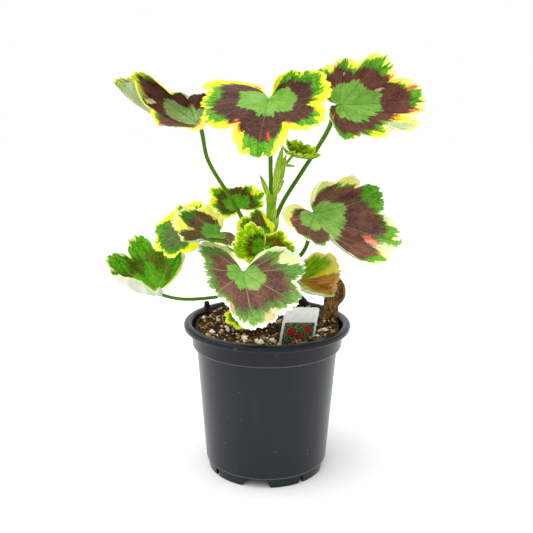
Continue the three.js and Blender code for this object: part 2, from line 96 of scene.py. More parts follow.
class Tone:
    """A value inside a material, with the sums that are written on it."""

    def __init__(self, look, socket):
        self.look = look
        self.socket = socket

    __add__ = __radd__ = maths("ADD")
    __sub__ = maths("SUBTRACT")
    __rsub__ = maths("SUBTRACT", swapped=True)
    __mul__ = __rmul__ = maths("MULTIPLY")
    __truediv__ = maths("DIVIDE")
    __pow__ = maths("POWER")
    __mod__ = maths("FLOORED_MODULO")
    __abs__ = maths("ABSOLUTE")
    at_least = maths("MAXIMUM")

    def rise(self, low, high):
        """0 below low, 1 above high and smooth between."""
        return self.look.node(
            "ShaderNodeMapRange",
            {"interpolation_type": "SMOOTHSTEP"},
            {"Value": self, "From Min": low, "From Max": high},
        )


class Look:
    """One procedural material, built node by node."""

    def __init__(self, name, world=False):
        self.material = (bpy.data.worlds if world else bpy.data.materials).new(name)
        self.material.use_nodes = True
        self.tree = self.material.node_tree
        self.tree.nodes.clear()

    def node(self, kind, settings=None, sockets=None, output=0):
        """Adds a node: first its settings, then the values or links of its sockets."""
        made = self.tree.nodes.new(kind)
        for key, value in (settings or {}).items():
            if key == "stops":
                stops = made.color_ramp.elements
                while len(stops) < len(value):
                    stops.new(1.0)
                for stop, (position, colour) in zip(stops, value):
                    stop.position = position
                    stop.color = colour
            else:
                setattr(made, key, value)
        for key, value in (sockets or {}).items():
            if isinstance(value, Tone):
                self.tree.links.new(value.socket, made.inputs[key])
            else:
                made.inputs[key].default_value = value
        return Tone(self, made.outputs[output]) if made.outputs else made

    def place(self):
        return self.node("ShaderNodeTexCoord", output="Object")

    def attribute(self, name):
        return self.node("ShaderNodeAttribute", {"attribute_name": name}, output="Fac")

    def vector(self, x, y, z):
        return self.node("ShaderNodeCombineXYZ", sockets={"X": x, "Y": y, "Z": z})

    def parts(self, vector):
        return [self.node("ShaderNodeSeparateXYZ", sockets={0: vector}, output=axis) for axis in "XYZ"]

    def mottle(self, vector, scale, detail=2.0, roughness=0.5):
        sockets = {"Vector": vector, "Scale": scale, "Detail": detail, "Roughness": roughness}
        return self.node("ShaderNodeTexNoise", None, sockets, "Fac")

    def cells(self, vector, scale, feature="F1"):
        sockets = {"Vector": vector, "Scale": scale}
        return self.node("ShaderNodeTexVoronoi", {"feature": feature}, sockets, "Distance")

    def blend(self, share, first, second):
        """A mix of two colours, each a link, three levels from 0 to 255 or a linear colour."""
        first, second = (paint(*c) if isinstance(c, tuple) and len(c) == 3 else c for c in (first, second))
        settings = {"data_type": "RGBA", "clamp_factor": True}
        return self.node("ShaderNodeMix", settings, {0: share, 6: first, 7: second}, 2)

    def over(self, base, *layers):
        """Lays colours over a base in turn, each where its own mask shows it."""
        for mask, colour in layers:
            base = self.blend(mask, base, colour)
        return base

    def finish(self, colour, roughness=0.5, relief=None, depth=0.2, **constants):
        """Ends the material. relief is a height from 0 to 1 and depth its size in millimetres."""
        sockets = {"Base Color": colour, "Roughness": roughness, "Specular IOR Level": 0.3}
        if relief is not None:
            bump = {"Height": relief, "Distance": depth * MM, "Strength": 1.0}
            sockets["Normal"] = self.node("ShaderNodeBump", None, bump)
        for key, value in constants.items():
            sockets[key.replace("_", " ").title().replace("Ior", "IOR")] = value
        shader = self.node("ShaderNodeBsdfPrincipled", None, sockets)
        self.node("ShaderNodeOutputMaterial", None, {"Surface": shader})
        return self


def mesh_of(name, points, faces, attributes=None, crease=40):
    """A mesh from points in millimetres, smooth but for edges sharper than crease degrees."""
    mesh = bpy.data.meshes.new(name)
    mesh.from_pydata((np.asarray(points) * MM + SHIFT).tolist(), [], faces)
    for key, values in (attributes or {}).items():
        mesh.attributes.new(key, "FLOAT", "POINT").data.foreach_set("value", np.asarray(values, np.float32))
    mesh.shade_smooth()
    mesh.set_sharp_from_angle(angle=math.radians(crease))
    mesh.validate()
    return mesh


def put(name, data):
    """A new object in the scene, unturned at the origin."""
    made = bpy.data.objects.new(name, data)
    bpy.context.scene.collection.objects.link(made)
    return made


def plain_copy(made, name):
    """The object's mesh with its modifiers worked in."""
    bpy.context.view_layer.update()
    graph = bpy.context.evaluated_depsgraph_get()
    mesh = bpy.data.meshes.new_from_object(made.evaluated_get(graph), depsgraph=graph)
    mesh.name = name
    return mesh


def piece(mesh, look, slot, *nodes):
    """Puts a finished mesh in the scene as a piece of the plant that stands for CAD nodes."""
    made = put(mesh.name, mesh)
    mesh.materials.clear()
    mesh.materials.append(look.material)
    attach(made, "root")
    if nodes:
        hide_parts(*nodes)


def joined(parts):
    """One set of points, faces and attributes from several."""
    points, faces, attributes, count = [], [], {}, 0
    for part_points, part_faces, part_attributes in parts:
        points.append(np.asarray(part_points))
        faces += [[corner + count for corner in face] for face in part_faces]
        for key, values in part_attributes.items():
            attributes.setdefault(key, []).append(np.asarray(values, float))
        count += len(part_points)
    return np.concatenate(points), faces, {key: np.concatenate(v) for key, v in attributes.items()}


def skin(levels, sides, flipped=False):
    """Faces over a stack of rings of points: the two ends, then the quads between the rings."""
    first, last = list(range(sides)), [(levels - 1) * sides + side for side in range(sides)]
    faces = [first, last[::-1]] if flipped else [first[::-1], last]
    for low in range(0, (levels - 1) * sides, sides):
        for side in range(sides):
            after = (side + 1) % sides
            quad = [low + side, low + after, low + sides + after, low + sides + side]
            faces.append([quad[0], *quad[:0:-1]] if flipped else quad)
    return faces


def smooth_share(share):
    return share * share * (3 - 2 * share)


def ripple(points, size, seed=0.0):
    """Smooth noise from -1 to 1 at each point, with features of that size in millimetres."""
    return np.array([noise.noise(Vector(p) / size + Vector((seed, 2 * seed, 3 * seed))) for p in points])


# Pot

def rounded(corners):
    """A line through corners (radius from the axis, height, rounding) with each corner rounded."""
    line = []
    for i, (radius, height, rounding) in enumerate(corners):
        corner = np.array([radius, height], float)
        if rounding == 0 or i in (0, len(corners) - 1):
            line.append(corner)
            continue
        before = np.array(corners[i - 1][:2], float) - corner
        after = np.array(corners[i + 1][:2], float) - corner
        before *= rounding / np.linalg.norm(before)
        after *= rounding / np.linalg.norm(after)
        for share in np.linspace(0, 1, CORNER_STEPS + 1):
            line.append(corner + (1 - share) ** 2 * before + share**2 * after)
    return np.array(line)


def turned(line, sides):
    """A closed body turned about the pot's axis from a line that starts and ends on it."""
    angles = np.arange(sides) * 2 * math.pi / sides
    ring = np.stack([np.cos(angles), np.sin(angles)], 1)
    points = [[POT_AXIS_X, 0, line[0][1]]]
    for radius, height in line[1:-1]:
        level = np.full((sides, 1), height)
        points += np.hstack([ring * radius + [POT_AXIS_X, 0], level]).tolist()
    points.append([POT_AXIS_X, 0, line[-1][1]])
    faces = []
    levels = len(line) - 2
    for side in range(sides):
        after = (side + 1) % sides
        faces.append([0, 1 + after, 1 + side])
        for level in range(levels - 1):
            base = 1 + level * sides
            faces.append([base + side, base + after, base + sides + after, base + sides + side])
        base = 1 + (levels - 1) * sides
        faces.append([base + side, base + after, len(points) - 1])
    return points, faces, {}


def block(width_low, width_high, top, turn):
    """A cutter through the foot ring, turned about the pot's axis."""
    foot = CUTTER_FOOT
    corners = []
    for y in (-FOOT_RADIUS - CUTTER_HALF_DEPTH, -FOOT_RADIUS + CUTTER_HALF_DEPTH):
        for x, z in ((-width_low, foot), (width_low, foot), (width_high, top), (-width_high, top)):
            corners.append([x / 2, y, z])
    cosine, sine = math.cos(math.radians(turn)), math.sin(math.radians(turn))
    points = [[x * cosine - y * sine + POT_AXIS_X, x * sine + y * cosine, z] for x, y, z in corners]
    return points, skin(2, 4, flipped=True), {}


def drain(turn):
    """A round cutter through the pot's floor."""
    angle = math.radians(turn)
    middle = np.array([POT_AXIS_X + DRAIN_CIRCLE * math.sin(angle), -DRAIN_CIRCLE * math.cos(angle)])
    points = []
    for height in (FOOT_HEIGHT - 4, FLOOR_TOP + 4):
        for side in range(DRAIN_SIDES):
            around = 2 * math.pi * side / DRAIN_SIDES
            rim = middle + DRAIN_RADIUS * np.array([math.cos(around), math.sin(around)])
            points.append([*rim, height])
    return points, skin(2, DRAIN_SIDES), {}


def pot_mesh():
    corners = [
        (0, FOOT_HEIGHT, 0),
        (FOOT_RADIUS - FOOT_WIDTH, FOOT_HEIGHT, 0.4),
        (FOOT_RADIUS - FOOT_WIDTH, 0, 0.3),
        (FOOT_RADIUS, 0, 0.4),
        (FOOT_RADIUS + 0.5, FOOT_HEIGHT - 0.5, 0.3),
        (BODY_BOTTOM_RADIUS, FOOT_HEIGHT + 0.1, 0.4),
        (BODY_TOP_RADIUS, COLLAR_FOOT - 0.6, 0.8),
        (COLLAR_RADIUS - 0.7, COLLAR_FOOT + 0.2, 0.7),
        (COLLAR_RADIUS, LIP_BOTTOM, 0.6),
        (LIP_RADIUS - 0.2, LIP_BOTTOM + 0.1, 1.0),
        (LIP_RADIUS, POT_HEIGHT - 0.5, 1.7),
        (COLLAR_RADIUS + 0.6, POT_HEIGHT, 0.9),
        (COLLAR_RADIUS - 0.9, POT_HEIGHT - 1.7, 0.7),
        (COLLAR_RADIUS - POT_WALL, LIP_BOTTOM - 1, 0.5),
        (COLLAR_RADIUS - 0.5 - POT_WALL, COLLAR_FOOT + 0.8, 0.4),
        (BODY_TOP_RADIUS - POT_WALL, COLLAR_FOOT - 0.8, 0.4),
        (BODY_BOTTOM_RADIUS - POT_WALL, FLOOR_TOP, 0.8),
        (0, FLOOR_TOP, 0),
    ]
    body = mesh_of("pot_blank", *turned(rounded(corners), POT_SIDES)[:2])
    cutters = []
    for quarter in range(4):
        turn = NOTCH_TURN + 90 * quarter
        cutters.append(block(*NOTCH, turn))
        cutters.append(block(*SLIT, turn + 45))
        cutters.append(drain(turn))
    made = put("pot_blank", body)
    cutter = put("pot_cutters", mesh_of("pot_cutters", *joined(cutters)[:2]))
    cut = made.modifiers.new("notches", "BOOLEAN")
    cut.operation = "DIFFERENCE"
    cut.solver = "EXACT"
    cut.object = cutter
    mesh = plain_copy(made, "pot_shell")
    for each in (made, cutter):
        bpy.data.objects.remove(each)
    mesh.set_sharp_from_angle(angle=math.radians(38))
    return mesh


def pot_look():
    """Injection-moulded black plastic, dusty, with pale lines along its edges that are scuffs and painted
    highlight, and painted shade on the collar under the lip.
    """
    look = Look("black_nursery_plastic")
    place = look.place()
    x, y, z = look.parts(place)
    height = z / MM
    fine = look.mottle(place, 900, 3)
    patches = look.mottle(place, 35, 3, 0.6)
    streaks = look.mottle(look.vector(x * 260, y * 260, z * 22), 1.0, 2)
    dusty = (1 - look.cells(place, 330).rise(0.05, 0.11)) * look.mottle(place, 120, 1).rise(0.6, 0.66)
    fine_dust = 1 - look.cells(place, 900).rise(0.06, 0.16)
    fine_dust = fine_dust * look.mottle(place, 60, 3, 0.7).rise(0.5, 0.7)
    # Pale lines along the step edges: scuffs and painted highlight.
    edges = 0.0
    for level, width in ((COLLAR_FOOT + 0.35, 0.5), (FOOT_HEIGHT + 0.35, 0.45), (LIP_BOTTOM, 0.5)):
        edges = edges + (1 - abs(height - level).rise(0.1, width))
    # The collar is painted darker than the body below it: painted shade under the lip.
    collar_shade = height.rise(COLLAR_FOOT - 1, COLLAR_FOOT + 1)
    lip = height.rise(LIP_BOTTOM + 0.3, LIP_BOTTOM + 1.5)
    soiled = height.rise(84, 95) * look.mottle(place, 210, 4, 0.7).rise(0.6, 0.7)
    colour = look.over(
        look.blend(patches, (12, 23, 28), (18, 30, 35)),
        (streaks.rise(0.45, 0.8) * 0.2, (34, 42, 46)),
        (collar_shade, (8, 15, 20)),
        (lip, (6, 18, 28)),
        (edges * (0.35 + patches) * 0.6, (116, 122, 120)),
        (dusty * 0.8 + fine_dust * 0.35, (170, 165, 154)),
        (soiled * 0.6, (96, 72, 50)),
    )
    rough = 0.3 + 0.1 * patches + 0.2 * dusty - 0.1 * height.rise(LIP_BOTTOM, POT_HEIGHT)
    relief = fine * 0.25 + streaks * 0.2 + dusty * 0.5
    coat = {"coat_weight": 0.4 - 0.14 * lip, "coat_roughness": 0.2}
    return look.finish(colour, rough, relief, 0.05, specular_ior_level=0.1, **coat)


# Soil

STUMP = [
    ((38, 6, 84), 3.6),
    ((40, 6, 95), 4.8),
    ((42, 6.5, 101), 5.3),
    ((43, 7, 107), 5.0),
    ((44.3, 8, 113.5), 6.0),
    ((46.6, 8, 119.5), 5.7),
    ((46.8, 8, 124.5), 3.4),
    ((45.4, 8, 127.6), 1.3),
]
SOIL_RADIUS = COLLAR_RADIUS - 0.5 - POT_WALL - 0.5
# The bed's sides under its top: radius and height.
SOIL_SIDES = ((SOIL_RADIUS, 86), (43.2, 82.5), (38.2, 8.5))
SOIL_FRONT_HEIGHT = 94
SOIL_SLOPE = 0.045
MOUND_HEIGHT = 4.2
MOUND_RADIUS = 9
STEM_FOOT_X = -1.7
STEM_CLEAR = 3.6


def soil_height(x, y):
    """The height of the soil's top: it slopes, swells at the stump and rolls a little."""
    stump_x, stump_y, _ = STUMP[1][0]
    away = np.hypot(x - stump_x, y - stump_y) / MOUND_RADIUS
    lumps = np.sin(x / 5 + 1.3) * np.cos(y / 4.3) + 0.6 * np.sin((x + y) / 3.1)
    slope = SOIL_SLOPE * (y + COLLAR_RADIUS)
    return SOIL_FRONT_HEIGHT + slope + MOUND_HEIGHT * np.exp(-away * away) + 0.7 * lumps


def soil_mesh():
    """The bed of potting mix: a crumbly top over plain sides that the pot hides."""
    sides, rings = 180, 60
    angles = np.arange(sides) * 2 * math.pi / sides
    points = []
    for ring in range(rings):
        radius = SOIL_RADIUS * (ring + 0.5) / (rings - 0.5)
        for angle in angles:
            points.append([POT_AXIS_X + radius * math.cos(angle), radius * math.sin(angle), 0])
    points = np.array(points)
    points[:, 2] = soil_height(points[:, 0], points[:, 1])
    rough = ripple(points, 2.1) * 0.9 + ripple(points, 0.9, 4) * 0.45
    edge = np.clip((SOIL_RADIUS - np.hypot(points[:, 0] - POT_AXIS_X, points[:, 1])) / 3, 0.2, 1)
    points[:, 2] += rough * edge
    points = points.tolist()
    for radius, height in SOIL_SIDES:
        points += [[POT_AXIS_X + radius * math.cos(a), radius * math.sin(a), height] for a in angles]
    return mesh_of("soil_bed", points, skin(rings + len(SOIL_SIDES), sides, flipped=True), crease=60)


def soil_look():
    look = Look("potting_mix")
    place = look.place()
    clods = look.mottle(place, 320, 5, 0.7)
    tint = look.mottle(place, 900, 2)
    colour = look.blend(clods.rise(0.42, 0.68), (10, 6, 4), (82, 56, 32))
    colour = look.blend(tint.rise(0.6, 0.7) * 0.7, colour, (168, 132, 88))
    return look.finish(colour, 0.95, clods * 0.7 + look.cells(place, 700) * 0.5, 0.7)


def grain_tree():
    """Grows one irregular grain on each point it is given, turned and sized at random."""
    tree = bpy.data.node_groups.new("grains_on_points", "GeometryNodeTree")
    face = tree.interface
    face.new_socket("Points", in_out="INPUT", socket_type="NodeSocketGeometry")
    for name, value in (("Size", 1.0), ("Length", 1.0), ("Thickness", 1.0), ("Raggedness", 0.3)):
        socket = face.new_socket(name, in_out="INPUT", socket_type="NodeSocketFloat")
        socket.default_value = value
    face.new_socket("Seed", in_out="INPUT", socket_type="NodeSocketInt")
    face.new_socket("Finish", in_out="INPUT", socket_type="NodeSocketMaterial")
    face.new_socket("Grains", in_out="OUTPUT", socket_type="NodeSocketGeometry")

    def add(kind, settings=None, output=0, **sockets):
        """Adds a node and gives one of its outputs. Sockets go by name, or by number as _0."""
        made = tree.nodes.new(kind)
        for key, value in (settings or {}).items():
            setattr(made, key, value)
        for key, value in sockets.items():
            target = made.inputs[int(key[1:]) if key[1:].isdigit() else key]
            if isinstance(value, bpy.types.NodeSocket):
                tree.links.new(value, target)
            else:
                target.default_value = value
        return made.outputs[output] if made.outputs else made

    def random_value(kind, output, **sockets):
        return add("FunctionNodeRandomValue", {"data_type": kind}, output, Seed=given["Seed"], **sockets)

    def times(first, second):
        return add("ShaderNodeMath", {"operation": "MULTIPLY"}, _0=first, _1=second)

    given = tree.nodes.new("NodeGroupInput").outputs
    ball = add("GeometryNodeMeshIcoSphere", Radius=0.5 * MM, Subdivisions=2)
    span = add("ShaderNodeCombineXYZ", X=given["Length"], Y=1.0, Z=given["Thickness"])
    grain = add("GeometryNodeTransform", Geometry=ball, Scale=span)
    turn = random_value("FLOAT_VECTOR", 0, _0=(-0.7, -0.7, 0), _1=(0.7, 0.7, 2 * math.pi))
    scale = times(random_value("FLOAT", 1, _2=0.45, _3=1.35), given["Size"])
    places = {"Points": given["Points"], "Instance": grain, "Rotation": turn, "Scale": scale}
    spread = add("GeometryNodeInstanceOnPoints", **places)
    store = {"data_type": "FLOAT", "domain": "INSTANCE"}
    shade = random_value("FLOAT", 1)
    kept = add("GeometryNodeStoreNamedAttribute", store, Geometry=spread, Name="shade", Value=shade)
    real = add("GeometryNodeRealizeInstances", Geometry=kept)
    where = add("GeometryNodeInputPosition")
    rough = add("ShaderNodeTexNoise", None, "Color", Vector=where, Scale=900.0, Detail=1.0)
    middle = add("ShaderNodeVectorMath", {"operation": "SUBTRACT"}, _0=rough, _1=(0.5, 0.5, 0.5))
    reach = times(times(given["Size"], given["Raggedness"]), 2 * MM)
    push = add("ShaderNodeVectorMath", {"operation": "SCALE"}, _0=middle, Scale=reach)
    moved = add("GeometryNodeSetPosition", Geometry=real, Offset=push)
    painted = add("GeometryNodeSetMaterial", Geometry=moved, Material=given["Finish"])
    tree.links.new(painted, tree.nodes.new("NodeGroupOutput").inputs[0])
    return tree


GRAINS = grain_tree()


def grains(name, points, look, seed, **shape):
    """A finished piece with one grain on each point. shape gives the tree's float inputs."""
    bed = put(name + "_points", bpy.data.meshes.new(name + "_points"))
    bed.data.from_pydata((np.asarray(points) * MM + SHIFT).tolist(), [], [])
    modifier = bed.modifiers.new("grains", "NODES")
    modifier.node_group = GRAINS
    values = {**shape, "Seed": seed, "Finish": look.material}
    for item in GRAINS.interface.items_tree:
        if item.in_out == "INPUT" and item.name in values:
            modifier[item.identifier] = values[item.name]
    mesh = plain_copy(bed, name)
    bpy.data.objects.remove(bed)
    piece(mesh, look, "soil")


def scattered(count, seed, sink, reach):
    """Places on the soil's top, sunk a little into it. Grains of that reach clear the stem."""
    chance = np.random.default_rng(seed)
    places = []
    while len(places) < count:
        radius = (SOIL_RADIUS - 1.2 - reach) * math.sqrt(chance.random())
        angle = 2 * math.pi * chance.random()
        x, y = POT_AXIS_X + radius * math.cos(angle), radius * math.sin(angle)
        if math.hypot(x - STEM_FOOT_X, y) < STEM_CLEAR + reach:
            continue
        places.append([x, y, soil_height(x, y) - sink + 0.5 * chance.random()])
    return places


def bark_look():
    look = Look("bark_bits")
    place = look.place()
    stops = [
        (0.0, paint(12, 8, 4)),
        (0.5, paint(46, 29, 12)),
        (0.7, paint(122, 84, 38)),
        (0.88, paint(206, 160, 92)),
        (1.0, paint(244, 218, 160)),
    ]
    shade = {"Fac": look.attribute("shade")}
    fibre = look.mottle(place, 1400, 3, 0.7)
    colour = look.over(
        look.node("ShaderNodeValToRGB", {"stops": stops}, shade, "Color"),
        (look.mottle(place, 110, 2).rise(0.6, 0.68) * 0.6, (120, 52, 24)),
        (fibre.rise(0.4, 0.75) * 0.5, (32, 20, 12)),
    )
    return look.finish(colour, 0.9, fibre, 0.25)


def dark_bark_look():
    look = Look("dark_bark")
    fibre = look.mottle(look.place(), 700, 4, 0.7)
    return look.finish(look.blend(fibre.rise(0.4, 0.7), (16, 10, 8), (70, 48, 34)), 0.9, fibre, 0.5)


def perlite_look():
    look = Look("perlite")
    place = look.place()
    froth = look.mottle(place, 1500, 3, 0.7)
    colour = look.blend(froth.rise(0.3, 0.7), (236, 234, 226), (255, 255, 253))
    stain = look.mottle(place, 420, 2).rise(0.66, 0.8) * 0.4
    return look.finish(look.blend(stain, colour, (150, 120, 92)), 0.85, froth, 0.3)


# Perlite that shows between the leaf, the tag and the lip, dark lumps at the back of the soil
# and the grains that a thin stub at the left rim is stacked from.
PERLITE = [
    (-40.6, 8.4),
    (-31, 6.4),
    (-33.4, -16.4),
    (-24.7, -9.1),
    (-23.6, -13.7),
    (-12, -28.3),
    (-12.8, -25.5),
    (-4.7, -32.3),
    (-2.2, -34),
    (1.7, -28),
    (4.6, -29.5),
    (35.1, 5.7),
    (38, -12),
    (33, -22),
]
LUMPS = [(24, 37, 100), (18.5, 36, 98), (28.5, 35.5, 99), (24.5, 36.5, 101.8)]
STUB = [(-39, 19, 98.5), (-39.2, 19, 100.6), (-39.1, 19, 102.7), (-39.3, 19, 104.6)]


# Dead stump

def stump_mesh():
    """A dry, split stump with a torn top."""
    sides, levels = 72, 110
    at = np.array([place for place, _ in STUMP], float)
    radii = np.array([radius for _, radius in STUMP])
    steps = np.linspace(0, len(STUMP) - 1, levels)
    known = np.arange(len(STUMP))
    angles = np.arange(sides) * 2 * math.pi / sides
    points, cracks = [], []
    for step in steps:
        middle = [np.interp(step, known, at[:, axis]) for axis in range(3)]
        radius = np.interp(step, known, radii)
        for angle in angles:
            ridges = 0.12 * math.sin(3 * angle + 0.6 * step) + 0.06 * math.cos(5 * angle + 1.7 * step)
            twist = angle + 0.12 * step
            grain = noise.noise(Vector((3.2 * math.cos(twist), 3.2 * math.sin(twist), 0.35 * step)))
            knuckle = noise.noise(Vector((1.3 * math.cos(angle), 1.3 * math.sin(angle), 1.1 * step)))
            split = noise.noise(Vector((1.6 * math.cos(twist) + 7, 1.6 * math.sin(twist), 0.5 * step)))
            crack = max(0.0, 1 - abs(split) / 0.09)
            reach = radius * (1 + ridges + 0.3 * knuckle) + 0.7 * grain - 0.9 * crack * min(1, step / 1.5)
            reach = max(reach, 0.3)
            out_x, out_y = reach * math.cos(angle), reach * math.sin(angle)
            points.append([middle[0] + out_x, middle[1] + out_y, middle[2]])
            cracks.append(crack)
    return mesh_of("dry_stump", points, skin(levels, sides), {"crack": cracks}, crease=70)


def stump_look():
    look = Look("dead_wood")
    place = look.place()
    x, y, z = look.parts(place)
    fibre = look.mottle(look.vector(x * 900, y * 900, z * 140), 1.0, 4, 0.65)
    blotch = look.mottle(place, 150, 3, 0.6)
    colour = look.over(
        look.blend(blotch.rise(0.38, 0.6), (62, 40, 20), (134, 96, 44)),
        (fibre.rise(0.45, 0.75) * 0.65, (190, 146, 80)),
        (1 - fibre.rise(0.3, 0.46), (32, 21, 12)),
        (look.attribute("crack").rise(0.2, 0.9) * 0.9, (20, 14, 9)),
    )
    return look.finish(colour, 0.85, fibre, 0.8)


# Tag

TAG_WIDTH = 25.0
TAG_LENGTH = 52.0
TAG_POINT = 12.0
TAG_THICKNESS = 0.55
TAG_TOP = Vector((23, -28, 116))
TAG_LEAN = 3.0
TAG_ROLL = 8.5
TAG_YAW = 29.0


def tag_place():
    lean = Matrix.Rotation(math.radians(TAG_LEAN), 3, "X")
    roll = Matrix.Rotation(math.radians(TAG_ROLL), 3, "Y")
    yaw = Matrix.Rotation(math.radians(TAG_YAW), 3, "Z")
    return yaw @ lean @ roll


def tag_mesh():
    """A thin stake with rounded top corners and a pointed foot, printed on its front."""
    outline = [(0, -TAG_LENGTH), (TAG_WIDTH / 2, TAG_POINT - TAG_LENGTH)]
    for centre_x, start in ((TAG_WIDTH / 2 - 1.5, 0), (1.5 - TAG_WIDTH / 2, 90)):
        for angle in np.linspace(start, start + 90, 7):
            turn = math.radians(angle)
            outline.append((centre_x + 1.5 * math.cos(turn), -1.5 + 1.5 * math.sin(turn)))
    outline.append((-TAG_WIDTH / 2, TAG_POINT - TAG_LENGTH))
    outline = np.array(outline)
    spin, points, flat = tag_place(), [], []
    half, bevel = TAG_THICKNESS / 2, 0.12
    for y, inset in ((-half, bevel), (-half + bevel, 0), (half - bevel, 0), (half, bevel)):
        for x, z in outline:
            scale = 1 - 2 * inset / TAG_WIDTH
            local = Vector((x * scale, y, z * scale))
            points.append(list(spin @ local + TAG_TOP))
            flat.append((x * scale, z * scale))
    count = len(outline)
    flat = np.array(flat)
    front = np.repeat([1.0, 1.0, 0.0, 0.0], count)
    attributes = {"across": flat[:, 0], "down": -flat[:, 1], "front": front}
    return mesh_of("printed_tag", points, skin(4, count, flipped=True), attributes, crease=30)


def tag_look():
    """White plastic with a plain head and a small generic print of leaves and red blooms."""
    look = Look("printed_white_plastic")
    across, down = look.attribute("across"), look.attribute("down")
    flat = look.vector(across, down, 0.0)
    panel_top, panel_half, corner = 9.6, 11.0, 1.6
    side = (abs(across) - (panel_half - corner)).at_least(0.0)
    top = (panel_top + corner - down).at_least(0.0)
    panel = 1 - ((side * side + top * top) ** 0.5).rise(corner - 0.12, corner + 0.12)
    lights = look.mottle(flat, 0.9, 3, 0.7)
    blooms = 0.0
    for bloom_x, bloom_down, size in ((-5.6, 15.6, 2.9), (0.6, 18.4, 2.4), (6.0, 14.2, 2.6)):
        from_middle = ((across - bloom_x) ** 2 + (down - bloom_down) ** 2) ** 0.5
        ragged = from_middle + 1.3 * look.mottle(flat, 0.8, 2)
        blooms = (1 - ragged.rise(size, size + 0.5)).at_least(blooms)
    red = look.blend(look.cells(flat, 0.9).rise(0.15, 0.7), (224, 34, 40), (150, 12, 22))
    print_colour = look.over(
        look.blend(look.cells(flat, 0.75).rise(0.1, 0.7), (92, 118, 70), (24, 46, 34)),
        (lights.rise(0.5, 0.64) * 0.8, (168, 172, 124)),
        (1 - lights.rise(0.25, 0.42), (14, 30, 26)),
        (blooms, red),
    )
    colour = look.over(
        look.blend(look.mottle(flat, 0.3, 2).rise(0.3, 0.8), (226, 226, 223), (240, 240, 238)),
        (look.mottle(flat, 1.4, 3, 0.7).rise(0.63, 0.7) * 0.35, (150, 140, 126)),
        (panel * look.attribute("front"), print_colour),
    )
    return look.finish(colour, 0.32, look.mottle(flat, 3.0, 2), 0.02)


# Leaves

VEINS = [-132, -88, -44, 0, 44, 88, 132]
SINUS = [-166, 166]
LOBES = len(VEINS)
# Half of a blade's thickness, and at the rim, which starts at that share of the way out.
HALF_THICK = 0.25
HALF_THICK_RIM = 0.17
THIN_FROM = 0.93
# How full the lobes are, and the height of the folds between the veins, as a share of them.
LOBE_FULLNESS = 2.2
PLEAT = 0.05
SIDE_VEIN_SPACING = 8.5
# Depths of the teeth and of the small ones between, as shares of the lobe's length.
TOOTH_DEPTH = 0.045
FINE_TOOTH_DEPTH = 0.012
BIG_LEAF = {"teeth": 5, "columns": 20, "rings": 24, "ruffle": 0.7}
SMALL_LEAF = {"teeth": 3, "columns": 15, "rings": 18, "ruffle": 0.55}

# Palettes: the centre, the dark zone, the green band, the margin and what they turn to.
CROWN = {
    "centre": (134, 182, 80),
    "centre_deep": (104, 158, 52),
    "dark": (106, 58, 50),
    "dark_deep": (76, 38, 38),
    "green": (104, 174, 34),
    "green_deep": (52, 126, 16),
    "margin": (246, 250, 20),
    "margin_pale": (250, 252, 74),
    "flare": (244, 96, 36),
    "vein": (150, 108, 74),
    "vein_heart": (86, 142, 36),
    "under": (196, 212, 162),
    "under_deep": (146, 170, 108),
    "shine": 0.14,
}
SHADED = {
    "centre": (146, 188, 92),
    "centre_deep": (112, 166, 62),
    "dark": (126, 77, 68),
    "dark_deep": (84, 48, 48),
    "green": (112, 178, 46),
    "green_deep": (68, 142, 24),
    "margin": (248, 248, 136),
    "margin_pale": (254, 254, 226),
    "flare": (250, 124, 88),
    "vein": (160, 150, 98),
    "vein_heart": (96, 152, 52),
    "under": (220, 230, 196),
    "under_deep": (184, 202, 150),
    "shine": 0.14,
}
FRESH = {
    "centre": (82, 150, 10),
    "centre_deep": (54, 122, 4),
    "dark": (84, 64, 8),
    "dark_deep": (50, 44, 2),
    "green": (104, 178, 8),
    "green_deep": (38, 98, 2),
    "margin": (244, 250, 20),
    "margin_pale": (250, 252, 96),
    "flare": (240, 130, 20),
    "vein": (132, 160, 30),
    "vein_heart": (130, 190, 40),
    "under": (170, 196, 96),
    "under_deep": (128, 166, 54),
    "shine": 0.06,
}
WHITE_RIM = {"margin": (250, 250, 170), "margin_pale": (255, 255, 244)}
# How light passes through living leaves and stalks.
LIVING = {"subsurface_weight": 0.08, "subsurface_scale": 0.001}

